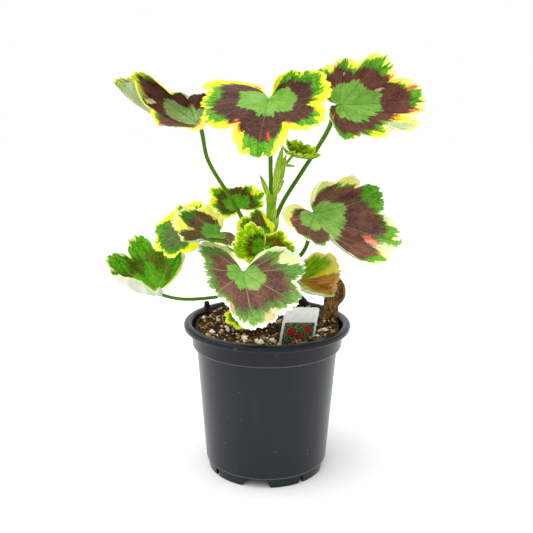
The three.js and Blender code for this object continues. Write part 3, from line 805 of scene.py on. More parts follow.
# Each leaf has the same driving values as the part's: where its stalk ends, the middle vein's
# heading and rise and the roll about it, vein lengths, notches, and each vein's lift and curl.
# The three zone lists give the share of the way to the margin where the centre, the dark zone
# and the green band end: at one side of the sinus, then vein and notch by turns to the other.
# A single number there is varied a little by the leaf's seed. strip is how wide the first and
# last values reach, ragged and soft say how jagged and how blurred the zones' ends are. Patches
# are spots of other colour: place round the blade, share of the way out, half of each, colour.
LEAVES = {
    "leaf_crown_left": {
        "size": BIG_LEAF,
        "at": [-44, 4, 225],
        "turn": [153, -22, -50],
        "lobes": [23, 31, 50, 58, 55, 36, 28],
        "notch": [0.5, 0.6, 0.85, 0.95, 0.96, 0.75, 0.95, 0.5],
        "lift": [-40, 15, 30, 40, 38, 52, 26],
        "curl": [120, 130, 70, 60, 90, -4, -8],
        "stalk": ([1, 0, 142], [[-6, 2, 152], [-14, 4, 164], [-24, 8, 180], [-37, 9, 202]], 1.3),
        # Its centre and dark zone are lighter than the crown palette's: painted light that makes up for this
        # leaf facing away from the light.
        "palette": {
            **CROWN,
            "centre": (184, 214, 144),
            "centre_deep": (144, 186, 94),
            "dark": (124, 74, 72),
            "dark_deep": (84, 46, 46),
            "margin": (240, 244, 110),
        },
        "centre": [0.3, 0.5, 0.5, 0.34, 0.36, 0.5, 0.4, 0.26, 0.13, 0.1, 0.3, 0.42, 0.45, 0.2, 0.1],
        "dark": [0.8, 0.95, 1.05, 0.86, 0.64, 0.9, 0.6, 0.88, 0.94, 0.9, 0.8, 1.0, 1.0, 0.3, 0.2],
        "green": [0.8, 0.96, 1.06, 0.9, 0.8, 0.97, 0.66, 0.93, 1.0, 0.97, 0.86, 1.0, 1.0, 0.5, 0.3],
        "patches": [
            (3.08, 0.84, 0.26, 0.22, (198, 214, 164)),
            (3.75, 0.99, 0.4, 0.07, (130, 180, 50)),
            (3.06, 0.57, 0.2, 0.06, (246, 246, 170)),
            (6.45, 0.45, 0.3, 0.2, (250, 170, 120)),
        ],
    },
    "leaf_crown_front": {
        "size": BIG_LEAF,
        "at": [1, -12, 240],
        "turn": [-96, -20, -6],
        "lobes": [55, 41, 46, 60, 45, 39, 27],
        "notch": [0.45, 0.85, 0.85, 0.8, 0.8, 0.85, 1.1, 0.45],
        "lift": [-5, -5, -5, -8, -5, -5, -12],
        "curl": [-5, -10, -5, -5, 10, 40, 100],
        "stalk": ([3.4, 0, 180], [[2.8, -2, 194], [2.6, -5, 209], [2.2, -8, 224]], 1.35),
        # Its dark zone is darker than the crown palette's: painted shade that takes back the extra light
        # this leaf gets as it faces up.
        "palette": {**CROWN, "dark": (80, 43, 38), "dark_deep": (56, 29, 29)},
        "strip": 0.14,
        "centre": [-0.1, 0.36, 0.46, 0.4, 0.5, 0.41, 0.4, 0.32, 0.4, 0.42, 0.46, 0.44, 0.46, 0.62, -0.1],
        "dark": [-0.1, 0.74, 0.7, 0.76, 0.9, 0.74, 0.84, 0.76, 0.76, 0.76, 0.78, 0.64, 0.8, 0.84, -0.1],
        "green": [-0.08, 0.76, 0.92, 0.98, 0.95, 0.92, 0.62, 1.1, 0.74, 1.0, 0.76, 0.78, 0.96, 1.02, -0.08],
        "patches": [
            (3.16, 0.94, 0.14, 0.1, (255, 252, 90)),
            (3.82, 0.91, 0.1, 0.13, (255, 252, 90)),
            (3.64, 0.7, 0.035, 0.1, (236, 84, 50)),
            (4.1, 0.74, 0.09, 0.05, (240, 110, 60)),
            (2.86, 0.74, 0.07, 0.05, (240, 130, 60)),
            (0.1, 0.7, 0.08, 0.12, (240, 120, 40)),
        ],
    },
    "leaf_crown_right": {
        "size": BIG_LEAF,
        "at": [47, 20, 236],
        "turn": [35, -3, 71],
        "lobes": [45, 47, 54, 60, 45, 30, 28],
        "notch": [0.5, 0.8, 0.72, 0.72, 0.8, 0.8, 0.9, 0.5],
        "lift": [20, 25, 28, 10, 8, -2, -12],
        "curl": [25, 45, 40, 20, 35, 45, 35],
        "stalk": ([2, 0, 150], [[9, 5, 172], [21.5, 10, 192.5], [31, 13, 207], [40, 18, 222]], 1.4),
        "centre": [0.25, 0.3, 0.33, 0.33, 0.5, 0.35, 0.54, 0.48, 0.54, 0.44, 0.5, 0.44, 0.44, 0.38, 0.3],
        "dark": [0.8, 0.66, 0.94, 0.6, 0.8, 0.5, 0.84, 0.82, 0.86, 0.76, 0.7, 0.8, 0.82, 0.6, 0.5],
        "green": [0.9, 1.0, 0.98, 0.72, 0.88, 0.56, 0.8, 0.98, 0.84, 0.97, 0.8, 0.97, 0.86, 0.9, 0.7],
        "patches": [
            (2.4, 0.78, 0.34, 0.2, (188, 206, 158)),
            (0.36, 0.62, 0.05, 0.26, (230, 120, 60)),
            (5.38, 0.67, 0.06, 0.05, (156, 168, 108)),
            (3.9, 0.6, 0.06, 0.07, (190, 190, 140)),
            (3.3, 0.88, 0.04, 0.1, (240, 130, 80)),
            (3.72, 0.9, 0.04, 0.1, (240, 130, 80)),
        ],
        "palette": {**CROWN, "margin_pale": (250, 252, 170)},
    },
    "leaf_right": {
        "size": BIG_LEAF,
        "at": [30, -16, 172],
        "turn": [12, -36, 60],
        "veins": [-136, -98, -42, 0, 44, 88, 132],
        "lobes": [28, 45, 66, 56, 44, 41, 27],
        "notch": [0.5, 0.95, 0.48, 0.9, 0.78, 0.75, 0.8, 0.5],
        "lift": [0, 20, 30, 20, 16, 24, 0],
        "curl": [20, 40, 35, 30, 45, 80, 100],
        "stalk": ([0, 0, 128], [[12.5, 0, 136], [22, -2, 142.6], [26.5, -5, 152]], 1.3),
        "palette": {**SHADED, "centre": (158, 200, 100), "centre_deep": (122, 176, 70)},
        "centre": [0.15, 0.42, 0.5, 0.37, 0.5, 0.36, 0.36, 0.33, 0.44, 0.45, 0.34, 0.24, 0.22, 0.15, 0.08],
        "dark": [0.3, 0.62, 0.92, 0.8, 0.95, 0.76, 0.8, 0.78, 0.95, 0.66, 0.9, 0.48, 0.72, 0.2, 0.1],
        "green": [0.35, 0.7, 0.94, 0.92, 0.97, 0.95, 0.82, 0.97, 0.97, 1.3, 0.94, 0.62, 0.78, 0.24, 0.12],
        "patches": [
            (3.16, 0.92, 0.2, 0.24, (252, 252, 206)),
            (3.24, 0.7, 0.16, 0.09, (250, 160, 128)),
            (3.36, 0.62, 0.1, 0.07, (244, 122, 92)),
            (0.74, 0.62, 0.12, 0.14, (180, 96, 70)),
        ],
    },
    "leaf_front": {
        "size": BIG_LEAF,
        "at": [-13, -42, 141],
        "turn": [-77, -31, -2],
        "veins": [-140, -96, -48, 0, 44, 84, 116],
        "sinus": [-167, 140],
        "lobes": [33, 24, 27, 41, 39, 37, 33],
        "notch": [0.5, 1.01, 0.97, 0.95, 0.97, 0.85, 0.97, 0.46],
        "lift": [0, 0, -6, -6, 0, 6, 4],
        "curl": [6, 15, 20, 0, 5, 15, 10],
        "stalk": ([-1, 0, 115], [[-4, -14, 119], [-9, -29, 127]], 1.3),
        "palette": {
            **SHADED,
            **WHITE_RIM,
            "dark": (124, 76, 68),
            "dark_deep": (82, 48, 50),
            "green": (124, 176, 80),
            "green_deep": (78, 134, 50),
        },
        "ragged": 0.8,
        "soft": 3.4,
        "strip": 0.2,
        "vein_width": 1.7,
        "centre": [0.02, 0.27, 0.36, 0.38, 0.43, 0.3, 0.4, 0.26, 0.4, 0.36, 0.42, 0.28, 0.28, 0.32, 0.05],
        "dark": [0.04, 0.62, 0.76, 0.82, 0.78, 0.84, 0.8, 0.72, 0.76, 0.8, 0.86, 0.62, 0.54, 0.66, 0.1],
        "green": [0.08, 0.88, 0.99, 0.98, 0.94, 0.97, 0.86, 0.95, 0.86, 0.95, 0.99, 0.97, 0.6, 0.86, 0.2],
        "patches": [(3.06, 0.9, 0.1, 0.1, (226, 190, 140)), (3.86, 0.9, 0.14, 0.1, (226, 200, 146))],
    },
    "leaf_low_left": {
        "size": BIG_LEAF,
        "at": [-70, 2, 118],
        "turn": [161, -9, -46],
        "veins": [-112, -68, -26, 10, 50, 90, 132],
        "lobes": [36, 40, 40, 38, 38, 26, 17],
        "notch": [0.5, 0.72, 0.68, 0.85, 0.85, 0.92, 0.8, 0.5],
        "lift": [5, 18, 14, 26, 36, 19, -20],
        "curl": [35, 44, 46, 70, 73, 115, 140],
        "stalk": ([-1, 0, 120], [[-16, 1, 118], [-32, 3, 113.5], [-55, 3, 112]], 1.1),
        "palette": {
            **FRESH,
            "centre": (96, 176, 6),
            "centre_deep": (66, 144, 2),
            "dark": (104, 112, 22),
            "dark_deep": (66, 94, 8),
            "green": (112, 188, 30),
            "green_deep": (48, 122, 2),
            "margin": (232, 240, 110),
            "margin_pale": (248, 250, 190),
            "vein": (164, 204, 92),
            "vein_heart": (160, 206, 74),
            "under": (252, 254, 244),
            "under_deep": (232, 240, 214),
        },
        "ragged": 1.3,
        "soft": 2.0,
        "strip": 0.3,
        "vein_width": 1.5,
        "centre": [0.05, 0.3, 0.48, 0.5, 0.46, 0.46, 0.46, 0.6, 0.5, 0.62, 0.46, 0.5, 0.42, 0.4, 0.3],
        "dark": [0.1, 0.5, 0.86, 0.52, 0.9, 0.6, 0.82, 0.7, 0.84, 0.76, 0.86, 0.78, 0.72, 0.6, 0.4],
        "green": [0.2, 0.93, 0.99, 0.96, 0.97, 0.98, 0.92, 0.97, 0.97, 0.97, 0.97, 0.97, 0.95, 0.9, 0.7],
    },
    "leaf_mid_left": {
        "size": BIG_LEAF,
        "at": [-29, -22, 161],
        "turn": [150, -30, -42],
        "lobes": [14, 20, 27, 29, 24, 20, 17],
        "notch": [0.5, 0.8, 0.85, 1, 0.9, 0.96, 0.92, 0.45],
        "lift": [-14, 6, 34, 32, 22, 19, -12],
        "curl": [100, 75, 65, 45, 40, 41, -10],
        "stalk": ([0, 0, 124], [[-9, 0, 137], [-19, -7, 150]], 1.1),
        "palette": {
            **SHADED,
            "centre": (108, 166, 64),
            "centre_deep": (80, 142, 44),
            "green": (74, 138, 26),
            "green_deep": (40, 98, 12),
            "dark": (100, 72, 46),
            "dark_deep": (68, 50, 28),
            "margin": (248, 248, 90),
            "margin_pale": (252, 252, 180),
        },
        "soft": 2.0,
        "centre": [0.1, 0.2, 0.25, 0.34, 0.3, 0.38, 0.36, 0.36, 0.34, 0.32, 0.42, 0.42, 0.5, 0.5, 0.3],
        "dark": [0.15, 0.3, 0.36, 0.44, 0.84, 0.64, 0.72, 0.5, 0.9, 0.84, 0.9, 0.84, 0.66, 0.9, 0.5],
        "green": [0.2, 0.35, 0.38, 0.46, 0.93, 0.84, 0.96, 0.52, 0.97, 0.94, 1.1, 1.1, 0.94, 0.97, 0.6],
        "patches": [(3.46, 0.56, 0.12, 0.08, (246, 186, 90)), (1.52, 0.5, 0.16, 0.08, (248, 184, 84))],
    },
    "leaf_behind_left": {
        "size": SMALL_LEAF,
        "at": [-49, -4, 160],
        "turn": [179, -34, -33],
        "lobes": [21, 23, 26, 25, 24, 24, 21],
        "notch": 0.85,
        "lift": 0,
        "curl": 8,
        "stalk": ([0, 0, 127], [[-12, 4, 138], [-30, 4, 149]], 1),
        "palette": {
            **FRESH,
            "dark": (94, 110, 66),
            "dark_deep": (68, 88, 48),
            "green": (92, 158, 40),
            "green_deep": (46, 104, 22),
        },
        "soft": 2.4,
        "centre": 0.3,
        "dark": [0.5, 0.55, 0.6, 0.6, 0.5, 0.58, 0.7, 0.66, 0.8, 0.66, 0.62, 0.5, 0.5, 0.5, 0.4],
        "green": [0.7, 0.8, 0.85, 0.95, 0.72, 0.94, 0.98, 0.8, 0.97, 0.84, 0.9, 0.6, 0.6, 0.6, 0.5],
    },
    "leaf_back_left": {
        "size": SMALL_LEAF,
        "at": [-18, 24, 169],
        "turn": [97, 6, -7],
        "lobes": [20, 20, 20, 21, 26, 20, 18],
        "notch": 0.85,
        "lift": [0, 8, 14, 12, 16, 6, -6],
        "curl": [10, 30, 45, 30, 25, 15, -5],
        "stalk": ([1, 0, 138], [[-6, 8, 149], [-13, 18, 158]], 1),
        "palette": FRESH,
        "ragged": 1.4,
        "centre": [0.2, 0.4, 0.4, 0.38, 0.56, 0.58, 0.62, 0.74, 0.6, 0.45, 0.54, 0.42, 0.5, 0.3, 0.2],
        "dark": [0.3, 0.7, 0.7, 0.6, 0.68, 0.74, 0.92, 0.96, 0.9, 0.66, 0.72, 0.7, 0.8, 0.6, 0.3],
        "green": [0.34, 0.9, 0.92, 0.95, 0.74, 0.92, 0.99, 0.99, 0.96, 0.92, 0.84, 0.82, 0.94, 0.8, 0.35],
        "patches": [(2.2, 0.76, 0.2, 0.08, (244, 190, 40))],
    },
    "leaf_young_front": {
        "size": SMALL_LEAF,
        "at": [-2, -20, 151.7],
        "turn": [134, -14, -78],
        "lobes": [16, 18, 19, 19, 19, 15, 7],
        "notch": 0.84,
        "lift": [14, 14, 24, 16, 30, 22, 10],
        "curl": [35, 35, 50, 40, 60, 45, 25],
        "stalk": ([-1.5, -9, 136], [[-4.5, -19, 144]], 0.9),
        "palette": {**FRESH, "green": (190, 226, 18), "green_deep": (102, 168, 6), "dark": (90, 66, 4)},
        "ragged": 2.2,
        "soft": 2.4,
        "centre": 0.37,
        "dark": 0.6,
        "green": 0.96,
    },
    "leaf_young_back": {
        "size": SMALL_LEAF,
        "at": [-1, -8, 155],
        "turn": [139, 71, -50],
        "lobes": [5, 7, 12, 19, 20, 16, 9],
        "notch": 0.86,
        "lift": [0, 5, 8, 4, -8, -2, -2],
        "curl": [10, 20, 25, 20, 5, 10, 15],
        "stalk": ([1.5, 0, 143], [[1.5, -4, 149]], 0.9),
        "palette": {**FRESH, "centre": (92, 158, 72), "dark": (100, 84, 50), "dark_deep": (78, 68, 38)},
        "ragged": 1.3,
        "centre": [0.3, 0.4, 0.45, 0.45, 0.5, 0.5, 0.46, 0.4, 0.45, 0.44, 0.44, 0.44, 0.4, 0.4, 0.3],
        "dark": [0.4, 0.5, 0.5, 0.5, 0.54, 0.52, 0.6, 0.88, 0.8, 0.7, 0.7, 0.7, 0.7, 0.6, 0.4],
        "green": [0.5, 0.6, 0.6, 0.6, 0.6, 0.6, 0.72, 0.95, 0.95, 0.85, 0.8, 0.8, 0.8, 0.7, 0.5],
    },
    "leaf_young_right": {
        "size": SMALL_LEAF,
        "at": [0.5, -13, 150],
        "turn": [-7, -1, 81],
        "lobes": [5, 7, 13, 19, 15, 9, 5],
        "notch": 0.86,
        "lift": [2, 4, 8, 2, -2, -4, 0],
        "curl": [10, 20, 25, 20, 15, 10, 5],
        "stalk": ([-1.5, -9, 136], [[0, -8.5, 143]], 0.9),
        "palette": {**FRESH, "dark": (120, 72, 10), "green": (150, 200, 10)},
        "soft": 2.0,
        "centre": 0.34,
        "dark": 0.68,
        "green": 0.92,
    },
    "leaf_young_top": {
        "size": {**SMALL_LEAF, "ruffle": 1.3},
        "at": [17, 2, 206],
        "turn": [7, -36, 22],
        "lobes": [13, 15, 15, 17, 16, 14, 12],
        "notch": 0.86,
        "lift": [-10, 4, 10, 8, 8, -2, -10],
        "curl": [40, 55, 65, 55, 55, 50, 45],
        "stalk": ([4, 0, 180], [[7, 0, 187], [10, 1, 196]], 1),
        "palette": {
            **FRESH,
            "margin": (176, 214, 16),
            "margin_pale": (206, 228, 60),
            "green": (156, 200, 14),
            "green_deep": (70, 128, 6),
            "under": (138, 180, 30),
            "under_deep": (84, 130, 12),
        },
        "ragged": 2.2,
        "soft": 2.4,
        "centre": 0.1,
        "dark": 0.5,
        "green": 0.9,
        "patches": [(5.1, 0.74, 0.3, 0.16, (120, 92, 10)), (6.3, 0.7, 0.2, 0.16, (112, 90, 14))],
    },
    "leaf_withering": {
        "size": SMALL_LEAF,
        "at": [22, -8, 128],
        "turn": [27, -19, 64],
        "lobes": [24, 25, 28, 32, 28, 25, 20],
        "notch": 0.87,
        "lift": [16, 20, 18, 32, 8, 14, 8],
        "curl": [65, 75, 65, 75, 50, 75, 90],
        "stalk": ([-0.5, 0, 117], [[8, -0.5, 121], [15, -2, 124]], 0.9),
        "palette": SHADED,
        "centre": 0.3,
        "dark": 0.8,
        "green": 0.9,
    },
    "leaf_at_soil": {
        "size": SMALL_LEAF,
        "at": [-16, -14, 105],
        "turn": [-94, -20, -19],
        "lobes": [9, 10, 11, 11, 11, 10, 9],
        "notch": 0.86,
        "lift": 0,
        "curl": -10,
        "stalk": ([-1.5, 0, 106], [[-8, -5, 103], [-14, -9.5, 101]], 0.8),
        "palette": {**FRESH, "dark": (70, 120, 30), "dark_deep": (50, 100, 24)},
        "centre": 0.4,
        "dark": 0.5,
        "green": 0.76,
    },
}


def per_vein(value):
    """Seven numbers from a list or from one number for all veins."""
    return np.array(value if isinstance(value, list) else [value] * LOBES, float)


def leaf_veins(leaf):
    return np.array(leaf.get("veins", VEINS), float)


def lobe_edges(leaf):
    """The angles where one lobe ends and the next begins, from one side of the sinus round."""
    veins, (first, last) = leaf_veins(leaf), leaf.get("sinus", SINUS)
    return np.array([first, *(veins[1:] + veins[:-1]) / 2, last])


def lobe_of(around):
    return np.clip(np.floor(around).astype(int), 0, LOBES - 1)


def direction(leaf, around):
    """The angle in degrees at a place round the margin, where each lobe counts 1."""
    edges, lobe = lobe_edges(leaf), lobe_of(around)
    return edges[lobe] + (edges[lobe + 1] - edges[lobe]) * (around - lobe)


def between_veins(leaf, values, angle):
    """Values given at the veins, eased from each vein to the next."""
    veins = leaf_veins(leaf)
    vein = np.clip(np.searchsorted(veins, angle, side="right") - 1, 0, LOBES - 2)
    share = smooth_share(np.clip((angle - veins[vein]) / (veins[vein + 1] - veins[vein]), 0, 1))
    return values[vein] * (1 - share) + values[vein + 1] * share


def margin_length(leaf, around, angle):
    """How far the margin is from the stalk, without its teeth."""
    veins, edges, lobes = leaf_veins(leaf), lobe_edges(leaf), np.array(leaf["lobes"], float)
    notch = leaf["notch"]
    notches = np.array(notch if isinstance(notch, list) else [0.5] + [notch] * (LOBES - 1) + [0.5])
    lobe = lobe_of(around)
    before = angle < veins[lobe]
    neighbour = np.clip(lobe + np.where(before, -1, 1), 0, LOBES - 1)
    low = notches[np.where(before, lobe, lobe + 1)] * (lobes[lobe] + lobes[neighbour]) / 2
    share = np.abs((angle - veins[lobe]) / (edges[np.where(before, lobe, lobe + 1)] - veins[lobe]))
    return lobes[lobe] + (low - lobes[lobe]) * share**LOBE_FULLNESS


def blade_points(leaf, reach, around, teeth):
    """Points of the blade's middle surface in the leaf's own frame. teeth is their depth."""
    angle = direction(leaf, around)
    length = reach * margin_length(leaf, around, angle) * (1 - teeth * reach**6)
    bend = np.radians(between_veins(leaf, per_vein(leaf["curl"]), angle)) * reach
    start = np.radians(between_veins(leaf, per_vein(leaf["lift"]), angle))
    chord = length * np.sinc(bend / 2 / math.pi)
    mean = sum(leaf["lobes"]) / LOBES
    between = np.sin(math.pi * between_veins(leaf, np.arange(LOBES, dtype=float), angle)) ** 2
    pleat = PLEAT * mean * reach**1.5 * between
    out = chord * np.cos(start + bend / 2)
    heading = np.radians(angle)
    height = chord * np.sin(start + bend / 2) + pleat
    return np.stack([out * np.cos(heading), out * np.sin(heading), height], -1)


def leaf_turn(leaf):
    heading, rise, roll = (math.radians(angle) for angle in leaf["turn"])
    turn = Matrix.Rotation(heading, 3, "Z") @ Matrix.Rotation(-rise, 3, "Y") @ Matrix.Rotation(roll, 3, "X")
    return np.array(turn)


def vein_places(leaf):
    """Where the veins meet the margin, each lobe counting 1."""
    edges = lobe_edges(leaf)
    return np.arange(LOBES) + (leaf_veins(leaf) - edges[:-1]) / (edges[1:] - edges[:-1])


def zone(leaf, key, around, seed):
    """Where a colour zone ends, as a share of the way to the margin, round the blade."""
    value = leaf[key]
    stations = [0.0]
    for lobe, vein_at in enumerate(vein_places(leaf)):
        stations += [vein_at, lobe + 1.0]
    if not isinstance(value, list):
        chance = np.random.default_rng(seed)
        value = (value * (1 + 0.14 * (chance.random(len(stations)) - 0.5))).tolist()
        value[0] *= 0.6
        value[-1] *= 0.6
    near, far = value[0] * 0.2 + value[1] * 0.8, value[-1] * 0.2 + value[-2] * 0.8
    strip = leaf.get("strip", 0.16)
    stations = [0.0, strip, *stations[1:-1], LOBES - strip, LOBES]
    return np.interp(around, stations, [value[0], near, *value[1:-1], far, value[-1]])


def blade_mesh(name, leaf, seed):
    """A thin blade: two layers of points that share one grid, joined along the border."""
    size = leaf["size"]
    around = []
    for lobe, vein_at in enumerate(vein_places(leaf)):
        around += np.linspace(lobe, vein_at, size["columns"], endpoint=False).tolist()
        around += np.linspace(vein_at, lobe + 1, size["columns"], endpoint=False).tolist()
    around = np.array(around + [LOBES - 1e-9])
    reach = (np.arange(1, size["rings"] + 1) / size["rings"]) ** 0.8
    reach_grid, around_grid = np.meshgrid(reach, around, indexing="ij")

    chance = np.random.default_rng(seed)
    phase = (around - lobe_of(around)) * size["teeth"]
    tooth = (lobe_of(around) * size["teeth"] + np.floor(phase)).astype(int)
    deep = TOOTH_DEPTH * (0.4 + chance.random(LOBES * size["teeth"] + 1))
    cusps = deep[tooth] * (1 - np.abs(np.sin(math.pi * phase)) ** 0.6)
    fine = FINE_TOOTH_DEPTH * np.sin(2 * math.pi * (3 * phase + 0.3 * np.sin(5 * around)))
    points = blade_points(leaf, reach_grid, around_grid, (cusps + fine)[None, :])
    swell = np.sin(2 * math.pi * (1.5 * around_grid + 0.4 * np.sin(1.7 * around_grid + seed)))
    swell += 0.5 * np.sin(2 * math.pi * 4.1 * around_grid + seed)
    points[..., 2] += size["ruffle"] * 0.7 * swell * reach_grid**5

    out = np.gradient(points, axis=0)
    round_ = np.gradient(points, axis=1)
    normals = np.cross(out, round_)
    normals /= np.linalg.norm(normals, axis=-1, keepdims=True)

    angle = direction(leaf, around)
    length = margin_length(leaf, around, angle)
    off = np.abs(np.radians(angle - leaf_veins(leaf)[lobe_of(around)])) * length
    rings, columns = reach_grid.shape
    half = np.where(reach_grid > THIN_FROM, HALF_THICK_RIM, HALF_THICK)[..., None] * normals
    upper = (points + half).reshape(-1, 3)
    lower = (points - half).reshape(-1, 3)
    local = np.concatenate([upper, [[0, 0, HALF_THICK]], lower, [[0, 0, -HALF_THICK]]])
    placed = local @ leaf_turn(leaf).T + np.array(leaf["at"], float)

    centre = rings * columns
    layer = centre + 1
    faces = []
    for ring in range(rings - 1):
        for column in range(columns - 1):
            a = ring * columns + column
            faces.append([a, a + columns, a + columns + 1, a + 1])
    top = faces + [[centre, column, column + 1] for column in range(columns - 1)]
    faces = top + [[corner + layer for corner in reversed(face)] for face in top]
    last = (rings - 1) * columns
    border = [last + column for column in range(columns)]
    border += [ring * columns + columns - 1 for ring in range(rings - 2, -1, -1)]
    border.append(centre)
    border += [ring * columns for ring in range(rings - 1)]
    for i, start in enumerate(border):
        end = border[(i + 1) % len(border)]
        faces.append([start, start + layer, end + layer, end])

    def on_both(grid, at_centre):
        side = np.append(np.broadcast_to(grid, reach_grid.shape).reshape(-1), at_centre)
        return np.concatenate([side, side])

    attributes = {
        "reach": on_both(reach_grid, 0.0),
        "around": on_both(around_grid, 3.5),
        "along": on_both(reach_grid * length, 0.0),
        "off_vein": on_both(reach_grid * off, 0.0),
        "centre_edge": on_both(zone(leaf, "centre", around, seed), 0.4),
        "dark_edge": on_both(zone(leaf, "dark", around, seed + 1), 0.7),
        "green_edge": on_both(zone(leaf, "green", around, seed + 2), 0.9),
        "under": np.repeat([0.0, 1.0], layer),
    }
    return mesh_of(name.replace("leaf", "blade"), placed, faces, attributes, crease=50)


def blade_veins(look, reach, along, off, width=1.0):
    """Lines of the main veins and of the side veins that fork off them."""
    wobble = look.mottle(look.place(), 160, 2) - 0.5
    main = 1 - (off + 0.25 * wobble).rise(0.06 * width, 0.36 * width)
    spacing = SIDE_VEIN_SPACING
    side = abs(((along - off * 1.1 + wobble * 5.0) / spacing) % 1.0 - 0.5) * spacing
    side = (1 - side.rise(0.05, 0.34)) * off.rise(0.2, 1.2) * reach.rise(0.2, 0.4)
    fade = 1 - reach.rise(0.75, 1.0) * 0.7
    return main * fade, side * fade


def streaked(look, around, reach, seed, detail=4, roughness=0.7):
    """Noise drawn out from the blade's heart to its margin."""
    return look.mottle(look.vector(around, reach, float(seed)), 1.0, detail, roughness)


def blade_look(name, leaf, seed):
    """A felted leaf with a green centre, a dark zone, a ragged green band and a pale margin."""
    look = Look(name.replace("leaf", "blade"))
    palette = leaf["palette"]
    reach, around = look.attribute("reach"), look.attribute("around")
    along, off, under = look.attribute("along"), look.attribute("off_vein"), look.attribute("under")
    place = look.place()
    streaks = streaked(look, around * 7.0, reach * 2.2, seed)
    broad = streaked(look, around * 2.6, reach * 1.6, seed + 30, 2, 0.5)
    fringe = streaked(look, around * 9.0, reach * 2.6, seed + 60)
    jags = streaks.rise(0.28, 0.72) - 0.5
    flames = fringe.rise(0.3, 0.7) - 0.5
    drift = broad.rise(0.3, 0.7) - 0.5
    flecks = look.mottle(place, 800, 3, 0.7).rise(0.3, 0.7) - 0.5
    felt = look.mottle(place, 1800, 2)
    net = 1 - look.cells(place, 300, "DISTANCE_TO_EDGE").rise(0.03, 0.16)
    tone = look.mottle(place, 130, 3, 0.6)

    # Where each zone shows: its end is moved by noise and set against the share of the way out.
    ragged, soft = leaf.get("ragged", 1.0), leaf.get("soft", 1.0)
    centre_ends = look.attribute("centre_edge") + jags * (0.06 * ragged) + flames * 0.07 + flecks * 0.02
    dark_ends = look.attribute("dark_edge") + jags * (0.13 * ragged) + drift * 0.05 + flecks * (0.07 * soft)
    green_ends = look.attribute("green_edge") + flames * (0.2 * min(ragged, 1.0)) + drift * 0.08
    centre = (centre_ends - reach).rise(-0.008, 0.012)
    dark = (dark_ends - reach).rise(-0.025 * soft, 0.035 * soft)
    green = (green_ends + flecks * 0.03 - reach).rise(-0.012, 0.025)
    flare = (dark_ends + 0.05 - reach).rise(-0.03, 0.05) * broad.rise(0.4, 0.5)

    band = look.blend((fringe + flecks * 0.3).rise(0.36, 0.62), palette["green_deep"], palette["green"])
    shade = look.blend((tone * 0.6 + streaks * 0.4).rise(0.38, 0.62), palette["dark_deep"], palette["dark"])
    heart = look.blend(tone.rise(0.3, 0.65), palette["centre_deep"], palette["centre"])
    main, side = blade_veins(look, reach, along, off, leaf.get("vein_width", 1.0))
    heart = look.blend(main * 0.6 + side * 0.25 + net * 0.22, heart, palette["vein_heart"])
    colour = look.over(
        look.blend(reach.rise(0.86, 1.0), palette["margin"], palette["margin_pale"]),
        (tone.rise(0.4, 0.7) * 0.35, palette["margin_pale"]),
        (flare, palette["flare"]),
        (green, band),
        (dark, shade),
        (dark * (main * 0.7 + side * 0.35 + net * 0.1), palette["vein"]),
        (centre, heart),
    )
    for at_around, at_reach, half_around, half_reach, tint in leaf.get("patches", []):
        spread = ((around - at_around) / half_around) ** 2 + ((reach - at_reach) / half_reach) ** 2
        streaked_tint = look.blend(fringe.rise(0.35, 0.6), tuple(0.84 * level for level in tint), tint)
        colour = look.blend((0.9 - spread - jags * 0.9 - flecks * 1.2).rise(0.0, 0.5), colour, streaked_tint)
    colour = look.blend(felt.rise(0.55, 0.75) * 0.08, colour, palette["margin_pale"])

    # The underside is paler and shows the zones faintly.
    pale = look.blend(streaks.rise(0.35, 0.65), palette["under_deep"], palette["under"])
    back = look.over(
        colour,
        (centre.at_least(dark).at_least(green) * 0.65 + 0.15, pale),
        (main * 0.5 + side * 0.35, (236, 242, 216)),
    )
    colour = look.blend(under, colour, back)
    relief = look.cells(place, 420) * 0.5 + felt * 0.25 - main * 0.8 - side * 0.5 - net * 0.2
    shine = palette["shine"]
    return look.finish(colour, 0.62 - 0.08 * tone, relief, 0.3, specular_ior_level=shine, **LIVING)


def withered_look(name, seed):
    """A dying blade: its back half goes from green to yellow and its front half is tan."""
    look = Look(name.replace("leaf", "blade"))
    reach, around = look.attribute("reach"), look.attribute("around")
    along, off, under = look.attribute("along"), look.attribute("off_vein"), look.attribute("under")
    place = look.place()
    streaks = streaked(look, around * 6.0, reach * 2.5, seed, 4, 0.65)
    tone = look.mottle(place, 170, 4, 0.6)
    fold = around + (tone - 0.5) * 0.5
    tan = look.over(
        look.blend(streaks.rise(0.3, 0.7), (154, 86, 16), (224, 162, 84)),
        (reach.rise(0.72, 0.96) * 0.6, (228, 184, 124)),
        (look.mottle(place, 420, 2).rise(0.58, 0.66) * reach.rise(0.6, 0.8) * 0.7, (92, 56, 24)),
    )
    rim = (reach + (streaks - 0.5) * 0.25).rise(0.74, 0.94) * fold.rise(3.4, 3.9)
    main, side = blade_veins(look, reach, along, off)
    colour = look.over(
        look.blend(tone.rise(0.3, 0.7), (168, 202, 54), (246, 248, 196)),
        (fold.rise(2.45, 2.7), tan),
        (fold.rise(3.7, 4.0), look.blend(tone.rise(0.3, 0.7), (255, 232, 50), (255, 250, 130))),
        (
            (fold - reach * 0.7).rise(3.62, 4.02),
            look.blend(streaks.rise(0.35, 0.65), (84, 148, 8), (164, 206, 40)),
        ),
        (rim * 0.8, (252, 236, 140)),
        (main * 0.3 + side * 0.15, (232, 214, 110)),
    )
    colour = look.blend(under, colour, look.blend(0.5, colour, (214, 214, 178)))
    relief = look.cells(place, 380) * 0.6 + tone * 0.6 - main * 0.6 - side * 0.4
    return look.finish(colour, 0.7, relief, 0.35, specular_ior_level=0.08, **LIVING)


# Stem

STEM_PATH = [[-2, 0, 82], [-1.5, 0, 112], [0.5, 0, 140], [3, 0, 162], [3.6, 0, 182]]
SHOOT_PATH = [[0, 0, 122], [-1, -7, 132], [-1.5, -11, 139]]
NODE_HEIGHTS = [116, 124, 131, 143, 152]
CROWN_HEIGHT = 180
SCALE_STEPS = 24

